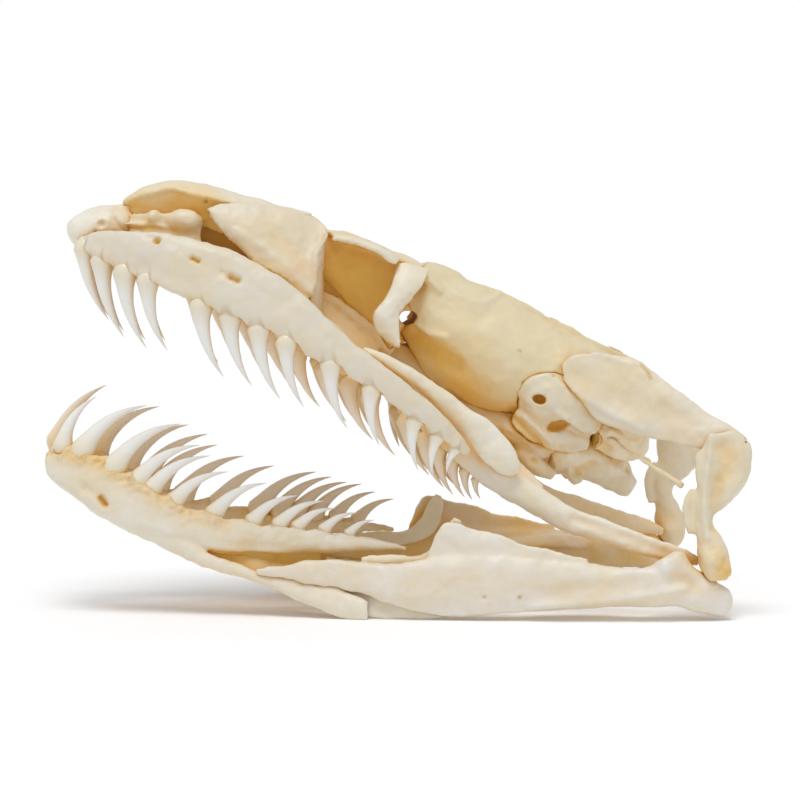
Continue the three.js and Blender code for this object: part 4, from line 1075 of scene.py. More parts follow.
# Whole numbers that mix a cell's place into a random value
mixing = {"axes": [374761393, 668265263, 1274126177], "again": 1103515245, "most": 65535, "saltStep": 13.7}


# Soft random values between -1 and 1 that change over a distance of size
def speckle(points, size, salt=0):
    run = points / size + salt * mixing["saltStep"]
    cell = np.floor(run).astype(np.int64)
    w = run - cell
    w = w * w * (3 - 2 * w)
    total = np.zeros(len(points))
    for corner in range(8):
        step = np.array([corner & 1, (corner >> 1) & 1, corner >> 2])
        key = (cell + step) @ np.array(mixing["axes"])
        key = (key ^ (key >> 13)) * mixing["again"]
        value = ((key ^ (key >> 16)) & mixing["most"]) / mixing["most"]
        total += value * np.prod(np.where(step, w, 1 - w), axis=1)
    return total * 2 - 1


def smooth(low, high, value):
    share = np.clip((value - low) / (high - low), 0, 1)
    return share * share * (3 - 2 * share)


def vertexNormals(mesh):
    normals = np.empty(len(mesh.vertices) * 3)
    mesh.vertex_normals.foreach_get("vector", normals)
    return normals.reshape(-1, 3)


def setPoints(mesh, points):
    mesh.vertices.foreach_set("co", points.ravel())
    mesh.update()


# A slight uneven wander that all bones share, so that edges and seams run unevenly and still match
wander = {
    "waves": [(4.4, 0.42), (1.6, 0.13), (0.95, 0.05)],  # length of a wave, and how far it moves a point
    "salt": 20,
    "middle": 2,  # nothing crosses the middle plane, and this far out it moves in full
    "still": 0.4,  # up to this height nothing moves, so that the jaws stay on the floor
    "free": 3,
}


def letWander(mesh):
    points = meshArrays(mesh)[0]
    folded = np.abs(points) * [0, 1, 0] + points * [1, 0, 1]
    shift = np.zeros_like(points)
    for turn, (size, amount) in enumerate(wander["waves"]):
        for axis in range(3):
            shift[:, axis] += amount * speckle(folded, size, wander["salt"] + 3 * turn + axis)
    shift[:, 1] *= np.clip(points[:, 1] / wander["middle"], -1, 1)
    moving = smooth(wander["still"], wander["free"], points[:, 2])
    setPoints(mesh, points + shift * moving[:, None])


# How marks are followed along a bone's side, and how they colour it: their depth paints ochre shade into
# grooves, along with real stain, and paler light onto ridges
markShape = {
    "outside": 60,  # how far out the search for the bone's side starts
    "step": 0.35,  # distance between the places along a groove or ridge
    "ringAt": 1.5,  # middle and width of the lip round a hole, by its radius
    "ringWide": 0.5,
    "tint": 0.3,
    "ridgeTint": -0.6,  # the least and the greatest depth that a tint counts
    "holeTint": 1.5,
    "roughTint": 0.35,
}


# The place on a bone's outer side at x and z, seen along +Y
def sidePoint(tree, x, z):
    place, normal = tree.ray_cast(Vector((x, -markShape["outside"], z)), Vector((0, 1, 0)))[:2]
    if place is None:
        return None
    return np.array(place), np.array(normal)


# Cuts holes, grooves and ridges into a bone's outer side; returns each point's painted pit shade, roughness
# and ochre values, the ochre partly real stain and partly painted shade in grooves and painted light on
# ridges
def markBone(mesh, marks, bothSides):
    points, faces = meshArrays(mesh)
    tree = BVHTree.FromPolygons([tuple(p) for p in points], faces)
    shadeLine = np.zeros(len(points))
    crumble = np.zeros(len(points))
    tint = np.zeros(len(points))
    moved = points.copy()
    for mark in marks:
        spots = np.array(mark["at"], dtype=float)
        if len(spots) > 1:
            run = np.linalg.norm(np.diff(spots, axis=0), axis=1).sum()
            spots = onCurve(spots, np.linspace(0, 1, max(3, int(run / markShape["step"]))))
        reach = mark["radius"]
        nearest = np.full(len(points), 1e9)
        normals = np.zeros_like(points)
        for x, z in spots[:, :2]:
            found = sidePoint(tree, x, z)
            if found is None:
                continue
            for flip in (1, -1) if bothSides else (1,):
                centre = found[0] * [1, flip, 1]
                apart = np.linalg.norm(points - centre, axis=1)
                closer = apart < nearest
                nearest[closer] = apart[closer]
                normals[closer] = found[1] * [1, flip, 1]
        dip = np.exp(-((nearest / reach) ** 2))
        moved -= normals * (dip * mark["depth"])[:, None]
        if "ring" in mark:
            lip = np.exp(-(((nearest - markShape["ringAt"] * reach) / (markShape["ringWide"] * reach)) ** 2))
            moved += normals * (lip * mark["ring"])[:, None]
        # Painted shade inside small holes
        shadeLine = np.maximum(shadeLine, dip * mark.get("dark", 0))
        crumble = np.maximum(crumble, dip * mark.get("rough", 0))
        # Depth paints ochre shade into grooves and holes, along with real stain, and paler light onto ridges
        depth = max(markShape["ridgeTint"], min(mark["depth"], markShape["holeTint"]))
        depth = mark.get("tint", markShape["tint"]) * depth
        tint += dip * (depth + markShape["roughTint"] * mark.get("rough", 0))
    setPoints(mesh, moved)
    return shadeLine, crumble, tint


# A recurved tooth: its root sinks into the jaw and its crown bows forwards before the tip
toothShape = {
    "around": 18,
    "rings": 26,
    "crowding": 0.9,  # under 1, the rings lie closer towards the tip
    "root": -0.17,
    "taper": 1.0,
    "narrow": 0.86,
    "collar": 0.26,  # swelling at the jaw's edge, and how far it reaches along the tooth
    "collarLong": 0.13,
    "keel": 0.05,
    "bend": 1.22,
    "tip": 0.05,
    "rootEnd": 0.01,
    "inner": 0.25,  # how far the painted shade of the inner side comes round
}


def toothArrays(base, reach, radius, bow):
    around, rings = toothShape["around"], toothShape["rings"]
    share = np.linspace(0, 1, rings) ** toothShape["crowding"]
    t = toothShape["root"] + (1 - toothShape["root"]) * share
    arch = np.where(t > 0, 4 * t * (1 - t), 0)
    path = base + np.outer(t, reach) + np.outer(arch, bow) * toothShape["bend"]
    tangent = unit(np.gradient(path, axis=0))
    side = unit(np.array([[0.0, 1.0, 0.0]]) - tangent * tangent[:, 1:2])
    over = np.cross(tangent, side)
    width = radius * np.maximum(1 - np.maximum(t, 0), 0) ** toothShape["taper"]
    collar = toothShape["collar"] * np.exp(-((t / toothShape["collarLong"]) ** 2))
    width = width * (1 + collar) + toothShape["tip"]
    rootRound = 1 - (np.minimum(t, 0) / toothShape["root"]) ** 2
    width = width * np.sqrt(np.clip(rootRound, toothShape["rootEnd"], 1))
    turn = np.linspace(0, 2 * math.pi, around, endpoint=False)
    keel = 1 + toothShape["keel"] * np.cos(2 * turn)
    flat = np.sin(turn) * toothShape["narrow"]
    points = (
        path[:, None, :]
        + (width[:, None] * flat)[..., None] * side[:, None, :]
        + (width[:, None] * np.cos(turn) * keel)[..., None] * over[:, None, :]
    ).reshape(-1, 3)
    points = np.vstack([points, path[0], path[-1] + tangent[-1] * toothShape["tip"]])
    faces = ringFaces(rings, around)
    first, last, end = rings * around, rings * around + 1, (rings - 1) * around
    for j in range(around):
        following = (j + 1) % around
        faces.append((first, following, j))
        faces.append((last, end + j, end + following))
    crown = np.append(np.repeat(np.clip(t, 0, 1), around), [0, 1])
    # Painted shade on the side of each tooth that faces the middle plane
    inner = np.clip(-np.sign(base[1]) * np.sin(turn) + toothShape["inner"], 0, 1)
    inner = np.append(np.tile(inner, rings), [0, 0])
    return points, faces, crown, inner


# How far one tooth differs from the next: a share of its length, and degrees of lean
toothChance = {"least": 0.95, "more": 0.1, "lean": 3, "slimming": 0.7}


# A row of teeth along an edge, with empty sockets left out
def toothRow(edge, row, chance):
    knots = placed(edge)
    count = len(row["places"])
    teeth = []
    for i, place in enumerate(row["places"]):
        t = i / (count - 1)
        long = row["longest"] + (row["shortest"] - row["longest"]) * t ** row["fall"]
        share = row["first"] if i == 0 else 1
        jitter = toothChance["least"] + toothChance["more"] * next(chance)
        turn = t ** row["leanFall"]
        lean = row["leanFront"] + (row["leanBack"] - row["leanFront"]) * turn
        lean = lean + toothChance["lean"] * (next(chance) - 0.5)
        angle = math.radians(lean)
        length = long * share * jitter
        along = np.array([math.sin(angle), row["splay"], row["up"] * math.cos(angle)])
        bow = np.array([-math.cos(angle), 0, row["up"] * math.sin(angle)]) * row["hook"] * length
        radius = toothRadius * (length / longestTooth) ** toothChance["slimming"]
        teeth.append((onCurve(knots, [place])[0], along * length, radius, bow))
    return teeth


# Sockets: distances across are in tooth radii, and those along the tooth in millimetres
socketDefaults = {
    "rise": -0.6,
    "arch": 0.75,
    "wide": 1.25,
    "pull": 0.8,
    "dark": 0.45,
    "rough": 0.12,
    "mound": 0.35,
}
socketShape = {
    "fade": 1.4,  # the pull ends at this many widths
    "moundAt": 1.15,
    "moundWide": 0.5,
    "moundDown": 0.7,
    "moundDeep": 1.5,
    "rimAt": 1.04,
    "rimWide": 0.13,
    "rimFrom": -3.5,
    "rimFull": -0.8,
    "roughWide": 2.6,
    "roughFrom": -6,
    "roughFull": -1,
}


# Draws the bone's edge back in an arch round each tooth and roughens the rim of its socket; a dark line on
# the rim is a dark joint and painted shade in the crease round the tooth
def openSockets(mesh, teeth, settings):
    points = meshArrays(mesh)[0]
    shadeLine = np.zeros(len(points))
    rough = np.zeros(len(points))
    normals = vertexNormals(mesh)
    wide, shape = settings["wide"], socketShape
    for base, reach, radius, _ in teeth:
        axis = reach / np.linalg.norm(reach)
        offset = points - base
        s = offset @ axis
        d = np.linalg.norm(offset - np.outer(s, axis), axis=1) / radius
        limit = settings["rise"] + (d / wide) ** 2 * settings["arch"]
        over = (d < wide * shape["fade"]) & (s > limit)
        pull = (s - limit) * settings["pull"]
        pull = pull * (1 - smooth(wide, wide * shape["fade"], d))
        points[over] -= np.outer(pull[over], axis)
        s = (points - base) @ axis
        across = (d - shape["moundAt"]) / shape["moundWide"]
        down = (s + shape["moundDown"]) / shape["moundDeep"]
        points += normals * (np.exp(-(across**2) - down**2) * settings["mound"])[:, None]
        # Painted shade in the crease round each tooth, with the dark joint
        rim = np.exp(-(((d - shape["rimAt"]) / shape["rimWide"]) ** 2))
        rim = rim * smooth(shape["rimFrom"], shape["rimFull"], s)
        shadeLine = np.maximum(shadeLine, rim * settings["dark"])
        worn = np.exp(-((d / shape["roughWide"]) ** 2)) * smooth(shape["roughFrom"], shape["roughFull"], s)
        rough = np.maximum(rough, worn * settings["rough"])
    setPoints(mesh, points)
    return shadeLine, rough


# A value for each point, which the materials read by its name
def writeValues(mesh, name, values):
    mesh.attributes.new(name, "FLOAT", "POINT").data.foreach_set("value", values.astype(np.float32))


# Surface: how stained a bone is outside, how much stain and painted shade its inward faces take, and how
# uneven, in millimetres
surfaceDefaults = {"stain": 0.06, "inner": 0.5, "spots": [], "swell": 0.07, "ripple": 0.035, "pits": 0.03}
surfaceShape = {
    "sideWide": 3,
    "innerFrom": -0.1,  # a point that faces inwards by this much starts to count as inner
    "innerFull": 0.8,
    "swellSize": 3.4,
    "rippleSize": 1.3,
    "pitSize": 0.75,
    "pitFrom": 0.1,
    "crustSize": 1.1,
    "crustHigh": 0.5,
    "crumbSize": 0.8,
    "crumbDeep": 0.6,
}


# Stain, painted shade, dark lines of painted shade and roughness of each point, from its place and the way
# it faces: inward faces and some spots take painted shade along with real stain
def finishSurface(mesh, bone, shadeLine, rough, tint, salt):
    points = meshArrays(mesh)[0]
    normals = vertexNormals(mesh)
    finish = {**surfaceDefaults, **bone.get("finish", {})}
    shape = surfaceShape
    side = np.clip(points[:, 1] / shape["sideWide"], -1, 1)
    # Inward faces, towards the middle plane, take painted shade along with real stain
    inward = smooth(shape["innerFrom"], shape["innerFull"], -normals[:, 1] * side)
    stain = finish["stain"] + finish["inner"] * inward + tint
    # Spots paint ochre patches: real stain, and painted shade in recesses and under overhangs
    for spot in finish["spots"]:
        apart = np.linalg.norm((points * [1, 0, 1] - [spot[0], 0, spot[1]]), axis=1)
        stain = stain + spot[3] * np.exp(-((apart / spot[2]) ** 2))
    swell = finish["swell"] * speckle(points, shape["swellSize"], salt)
    swell = swell + finish["ripple"] * speckle(points, shape["rippleSize"], salt + 3)
    pits = np.maximum(0, speckle(points, shape["pitSize"], salt + 5) - shape["pitFrom"]) * finish["pits"]
    crumbs = shape["crumbDeep"] * np.maximum(0, speckle(points, shape["crumbSize"], salt + 9))
    crust = rough * (shape["crustHigh"] * speckle(points, shape["crustSize"], salt + 8) - crumbs)
    setPoints(mesh, points + normals * (swell - pits + crust)[:, None])
    writeValues(mesh, "stain", np.clip(stain, 0, 1))
    writeValues(mesh, "shadeLine", np.clip(shadeLine, 0, 1))
    writeValues(mesh, "rough", np.clip(rough, 0, 1))
    writeValues(mesh, "crown", np.full(len(points), -1.0))


# Adds the teeth to a bone's mesh and marks where each lies from collar to tip; the teeth's stain values
# carry painted shade, on the inner side and over the whole of an inner row
def withTeeth(mesh, teeth, stainAndShade):
    points, faces = meshArrays(mesh)
    allPoints, allFaces = [points], faces
    crown, inner = [np.full(len(points), -1.0)], []
    start = len(points)
    for tooth in teeth:
        toothPoints, toothFaces, toothCrown, toothInner = toothArrays(*tooth)
        allPoints.append(toothPoints)
        allFaces = allFaces + [tuple(k + start for k in face) for face in toothFaces]
        crown.append(toothCrown)
        # Painted shade: the inner side, and all of an inner row, go into the stain values
        inner.append(toothInner + stainAndShade)
        start += len(toothPoints)
    made = bpy.data.meshes.new(mesh.name)
    made.from_pydata([tuple(p) for p in np.vstack(allPoints)], [], allFaces)
    extra = start - len(points)
    for name in ("stain", "shadeLine", "rough"):
        values = np.empty(len(points))
        mesh.attributes[name].data.foreach_get("value", values)
        more = np.concatenate(inner) if name == "stain" else np.zeros(extra)
        writeValues(made, name, np.append(values, more))
    writeValues(made, "crown", np.concatenate(crown))
    made.polygons.foreach_set("use_smooth", [True] * len(made.polygons))
    bpy.data.meshes.remove(mesh)
    return made


def mirroredMesh(mesh):
    made = mesh.copy()
    points = meshArrays(made)[0] * [1, -1, 1]
    setPoints(made, points)
    made.flip_normals()
    return made


def isMiddle(name):
    return name in middleBones


# A plain box between two places on each axis
def boxObject(xs, ys, zs):
    corners = [(x, y, z) for x in xs for y in ys for z in zs]
    faces = [(0, 1, 3, 2), (4, 6, 7, 5), (0, 4, 5, 1), (2, 3, 7, 6), (0, 2, 6, 4), (1, 5, 7, 3)]
    return meshObject("tool", corners, faces)


# The cutters that keep a bone apart from its neighbours, the floor and the middle plane
def cuttersFor(name):
    cutters = []
    for neighbour in neighbours[name]:
        grownShapes = shapesOf(bones[neighbour], detail["cutGap"])
        cutters += grownShapes
        if isMiddle(name) and not isMiddle(neighbour):
            cutters += [mirroredObject(shape) for shape in grownShapes]
    for part in holes.get(name, []):
        cutters.append(lumpObject("tool", part))
        if isMiddle(name) and abs(part["centre"][1]) > detail["holeOff"]:
            cutters.append(mirroredObject(cutters[-1]))
    far = cutBox["far"]
    cutters.append(boxObject((-far, far), (-far, far), (-cutBox["under"], 0.0)))
    if not isMiddle(name):
        cutters.append(boxObject((-far, far), (-detail["seam"], far), (-cutBox["below"], far)))
    return cutters


# Keeps only the largest connected body of a mesh
def largestBody(mesh):
    work = bmesh.new()
    work.from_mesh(mesh)
    left = set(work.verts)
    bodies = []
    while left:
        first = left.pop()
        body, queue = [first], [first]
        while queue:
            for edge in queue.pop().link_edges:
                for vertex in edge.verts:
                    if vertex in left:
                        left.discard(vertex)
                        body.append(vertex)
                        queue.append(vertex)
        bodies.append(body)
    bodies.sort(key=len)
    extra = [vertex for body in bodies[:-1] for vertex in body]
    if extra:
        bmesh.ops.delete(work, geom=extra, context="VERTS")
        work.to_mesh(mesh)
    work.free()


# Turns a mesh in millimetres into a piece that takes the place of one of the part's nodes
def place(pieceName, nodeName, mesh, material, slotName):
    mesh.transform(Matrix.Scale(metre, 4))
    mesh.materials.clear()
    mesh.materials.append(material)
    piece = bpy.data.objects.new(pieceName, mesh)
    bpy.context.collection.objects.link(piece)
    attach(piece, "root")
    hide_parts(nodeName)


# A node whose values go to its settings where it has them, and otherwise to its sockets
def newNode(tree, kind, at, **values):
    made = tree.nodes.new(kind)
    made.location = at
    for key, value in values.items():
        if hasattr(made, key):
            setattr(made, key, value)
        else:
            made.inputs[key].default_value = value
    return made


# A shader group with its named inputs and outputs
def newGroup(name, inputs, outputs):
    tree = bpy.data.node_groups.new(name, "ShaderNodeTree")
    for title, kind, value in inputs:
        socket = tree.interface.new_socket(title, in_out="INPUT", socket_type=kind)
        if value is not None:
            socket.default_value = value
    for title, kind in outputs:
        tree.interface.new_socket(title, in_out="OUTPUT", socket_type=kind)
    return tree, newNode(tree, "NodeGroupInput", (-900, 0)), newNode(tree, "NodeGroupOutput", (900, 0))


# Sockets 0, 6 and 7 of a colour mix are its factor and two colours, and output 2 is the result
def mixColour(tree, at, factor, first, second, how="MIX"):
    made = newNode(tree, "ShaderNodeMix", at, data_type="RGBA", blend_type=how)
    for socket, source in ((0, factor), (6, first), (7, second)):
        if isinstance(source, (int, float, tuple)):
            made.inputs[socket].default_value = source
        else:
            tree.links.new(source, made.inputs[socket])
    return made.outputs[2]


def maths(tree, at, how, first, second=None, clamp=False):
    made = newNode(tree, "ShaderNodeMath", at, operation=how, use_clamp=clamp)
    for socket, source in enumerate((first, second)):
        if source is None:
            continue
        if isinstance(source, (int, float)):
            made.inputs[socket].default_value = source
        else:
            tree.links.new(source, made.inputs[socket])
    return made.outputs[0]


def rangeOf(tree, at, value, low, high, newLow=0.0, newHigh=1.0):
    made = newNode(tree, "ShaderNodeMapRange", at)
    for socket, number in zip(range(1, 5), (low, high, newLow, newHigh)):
        made.inputs[socket].default_value = number
    tree.links.new(value, made.inputs[0])
    return made.outputs[0]


def noiseValue(tree, at, vector, scale, rough=0.5, layers=3):
    made = newNode(tree, "ShaderNodeTexNoise", at)
    made.inputs["Scale"].default_value = scale
    made.inputs["Detail"].default_value = layers
    made.inputs["Roughness"].default_value = rough
    tree.links.new(vector, made.inputs["Vector"])
    return made.outputs["Fac"]


# A noise turned into a mask that is 0 up to one value and 1 from another
def noiseMask(tree, at, vector, wish):
    noise = noiseValue(tree, (at[0] - 200, at[1]), vector, wish["scale"], wish["rough"], wish["layers"])
    return rangeOf(tree, at, noise, wish["from"], wish["to"])


boneToneShape = {
    "patches": {"scale": 70, "rough": 0.6, "layers": 4, "from": 0.35, "to": 0.7},
    "flecks": {"scale": 420, "rough": 0.65, "layers": 4, "from": 0.4, "to": 0.75},
    "streaks": {"scale": 460, "rough": 0.6, "layers": 4, "from": 0.45, "to": 0.75},
    "streakDraw": (0.14, 1, 0.9),  # a small share draws the streaks out along that axis
    "fleckShare": 0.3,
    "stainLeast": 0.6,  # how much of a stain shows everywhere, and how much only in the patches
    "stainPatches": 0.7,
}


# Bone colour: ivory that goes warm in patches, ochre where it is stained and, as painted shade, where it is
# hollow, and dark along lines of painted shade in pits and round the teeth
def boneToneGroup():
    tree, given, result = newGroup(
        "boneTone",
        [
            ("Vector", "NodeSocketVector", None),
            ("Ivory", "NodeSocketColor", (0.9, 0.86, 0.76, 1)),
            ("Warm", "NodeSocketColor", (0.8, 0.7, 0.5, 1)),
            ("Ochre", "NodeSocketColor", (0.55, 0.31, 0.07, 1)),
            ("Darkshade", "NodeSocketColor", (0.3, 0.16, 0.04, 1)),
            ("Stain", "NodeSocketFloat", 0.0),
            ("Line", "NodeSocketFloat", 0.0),
            ("HollowShade", "NodeSocketFloat", 0.0),
            ("Mottle", "NodeSocketFloat", 0.4),
            ("Streaks", "NodeSocketFloat", 0.4),
        ],
        [("Color", "NodeSocketColor"), ("StainAndShade", "NodeSocketFloat")],
    )
    vector = given.outputs["Vector"]
    shape = boneToneShape
    wide = noiseMask(tree, (-500, 300), vector, shape["patches"])
    close = noiseMask(tree, (-500, 100), vector, shape["flecks"])
    patch = maths(tree, (-300, 250), "MULTIPLY", wide, given.outputs["Mottle"])
    colour = mixColour(tree, (-100, 250), patch, given.outputs["Ivory"], given.outputs["Warm"])
    fleck = maths(tree, (-300, 80), "MULTIPLY", close, shape["fleckShare"])
    colour = mixColour(tree, (50, 200), fleck, colour, given.outputs["Warm"])
    drawn = newNode(tree, "ShaderNodeMapping", (-900, 500), Scale=shape["streakDraw"])
    tree.links.new(vector, drawn.inputs["Vector"])
    streak = noiseMask(tree, (-500, 500), drawn.outputs[0], shape["streaks"])
    streak = maths(tree, (-300, 500), "MULTIPLY", streak, given.outputs["Streaks"])
    colour = mixColour(tree, (120, 300), streak, colour, given.outputs["Warm"])
    uneven = maths(tree, (-450, -80), "MULTIPLY", wide, shape["stainPatches"])
    uneven = maths(tree, (-300, -80), "ADD", uneven, shape["stainLeast"])
    marked = maths(tree, (-100, -80), "MULTIPLY", given.outputs["Stain"], uneven, clamp=True)
    # Painted shade: hollows go ochre on top of the stain
    deep = maths(tree, (0, -160), "ADD", marked, given.outputs["HollowShade"], clamp=True)
    colour = mixColour(tree, (200, 150), deep, colour, given.outputs["Ochre"])
    # Lines of painted shade in pits and round the teeth
    colour = mixColour(tree, (380, 120), given.outputs["Line"], colour, given.outputs["Darkshade"])
    tree.links.new(colour, result.inputs["Color"])
    tree.links.new(deep, result.inputs["StainAndShade"])
    return tree


boneSurfaceShape = {
    "grain": {"scale": 1500, "rough": 0.6, "layers": 3, "share": 0.35},
    "pores": {"scale": 900, "from": 0.28, "to": 0.05},
    "porousPlaces": {"scale": 260, "rough": 0.5, "layers": 2, "from": 0.52, "to": 0.72},
    "crust": {"scale": 800, "rough": 0.75, "layers": 5, "share": 1.6},
}


# Bone surface: fine grain, pores and crumbled patches, as a height
def boneSurfaceGroup():
    tree, given, result = newGroup(
        "boneSurface",
        [
            ("Vector", "NodeSocketVector", None),
            ("Crumble", "NodeSocketFloat", 0.0),
            ("Pores", "NodeSocketFloat", 0.5),
        ],
        [("Height", "NodeSocketFloat"), ("Pits", "NodeSocketFloat")],
    )
    vector = given.outputs["Vector"]
    grained, pores, crusted = boneSurfaceShape["grain"], boneSurfaceShape["pores"], boneSurfaceShape["crust"]
    grain = noiseValue(tree, (-700, 300), vector, grained["scale"], grained["rough"], grained["layers"])
    cells = newNode(tree, "ShaderNodeTexVoronoi", (-700, 60))
    cells.inputs["Scale"].default_value = pores["scale"]
    tree.links.new(vector, cells.inputs["Vector"])
    pits = rangeOf(tree, (-480, 60), cells.outputs["Distance"], pores["from"], pores["to"])
    choose = noiseMask(tree, (-480, -140), vector, boneSurfaceShape["porousPlaces"])
    pits = maths(tree, (-280, 0), "MULTIPLY", pits, choose)
    amount = maths(tree, (-280, -180), "ADD", given.outputs["Pores"], given.outputs["Crumble"])
    pits = maths(tree, (-80, 0), "MULTIPLY", pits, amount, clamp=True)
    crust = noiseValue(tree, (-700, -340), vector, crusted["scale"], crusted["rough"], crusted["layers"])
    crust = maths(tree, (-280, -340), "MULTIPLY", crust, given.outputs["Crumble"])
    height = maths(tree, (0, 250), "MULTIPLY", grain, grained["share"])
    height = maths(tree, (100, 120), "SUBTRACT", height, pits)
    crust = maths(tree, (100, -300), "MULTIPLY", crust, crusted["share"])
    height = maths(tree, (300, 60), "ADD", height, crust)
    tree.links.new(height, result.inputs["Height"])
    tree.links.new(pits, result.inputs["Pits"])
    return tree


toothToneShape = {
    "streaks": {"scale": 300, "rough": 0.6, "layers": 3, "share": 0.1},
    "collarFrom": 0.05,  # shares of the crown's length
    "collarTo": 0.32,
    "tipFrom": 0.65,
    "tipTo": 1.1,
}


# Tooth colour: bone-coloured at the collar, clear ivory along the crown, greyer at the tip
def toothToneGroup():
    tree, given, result = newGroup(
        "toothTone",
        [
            ("Vector", "NodeSocketVector", None),
            ("Crown", "NodeSocketFloat", 0.0),
            ("Collar", "NodeSocketColor", (0.80, 0.72, 0.55, 1)),
            ("Ivory", "NodeSocketColor", (0.85, 0.825, 0.765, 1)),
            ("Tip", "NodeSocketColor", (0.76, 0.72, 0.64, 1)),
        ],
        [("Color", "NodeSocketColor")],
    )
    shape, streaks = toothToneShape, toothToneShape["streaks"]
    vector = given.outputs["Vector"]
    streak = noiseValue(tree, (-700, 200), vector, streaks["scale"], streaks["rough"], streaks["layers"])
    streak = maths(tree, (-600, 200), "MULTIPLY", streak, streaks["share"])
    shifted = maths(tree, (-500, 100), "ADD", given.outputs["Crown"], streak)
    low = rangeOf(tree, (-300, 100), shifted, shape["collarFrom"], shape["collarTo"])
    colour = mixColour(tree, (-100, 100), low, given.outputs["Collar"], given.outputs["Ivory"])
    high = rangeOf(tree, (-300, -100), shifted, shape["tipFrom"], shape["tipTo"])
    colour = mixColour(tree, (100, 60), high, colour, given.outputs["Tip"])
    tree.links.new(colour, result.inputs["Color"])
    return tree


# What each bone's own look starts from
materialDefaults = {
    "ivory": (0.80, 0.76, 0.655, 1),
    "warm": (0.74, 0.62, 0.36, 1),
    "ochre": (0.80, 0.475, 0.095, 1),
    # Colour of the painted shade in pits, pores and the creases round the teeth
    "darkshade": (0.42, 0.24, 0.065, 1),
    "mottle": 0.5,
    "streaks": 0.22,
    "pores": 0.35,
    "roughness": 0.44,
    "stainedRoughness": 0.72,
    "pitShade": 0.4,
    "bump": 0.35,
    "bumpDistance": 0.0003,
    "specular": 0.4,
}
# Painted shade: hollows found by occlusion go ochre, standing for their shade along with the real yellow
# stain in them, except close to the floor, where the floor itself would count as one
hollowShadeLook = {
    "samples": 4,
    "distance": 0.014,
    "open": 0.85,
    "deep": 0.25,
    "floorFrom": 0.003,
    "floorTo": 0.014,
}
# How far painted shade dims a tooth, in hollows and through the stain values of its inner side and inner
# rows; from and to part the teeth from the bone by the crown value
toothLook = {
    "hollowShade": 0.55,
    "stain": 0.36,
    "roughness": (0.3, 0.3, 0.3, 1),
    "bump": 0.12,
    "from": -0.6,
    "to": -0.4,
}

groups = {"tone": boneToneGroup(), "surface": boneSurfaceGroup(), "tooth": toothToneGroup()}
print("made the shader groups", flush=True)


def groupNode(tree, group, at):
    made = tree.nodes.new("ShaderNodeGroup")
    made.node_tree = group
    made.location = at
    return made


def attributeValue(tree, name, at):
    made = tree.nodes.new("ShaderNodeAttribute")
    made.attribute_name = name
    made.location = at
    return made.outputs["Fac"]


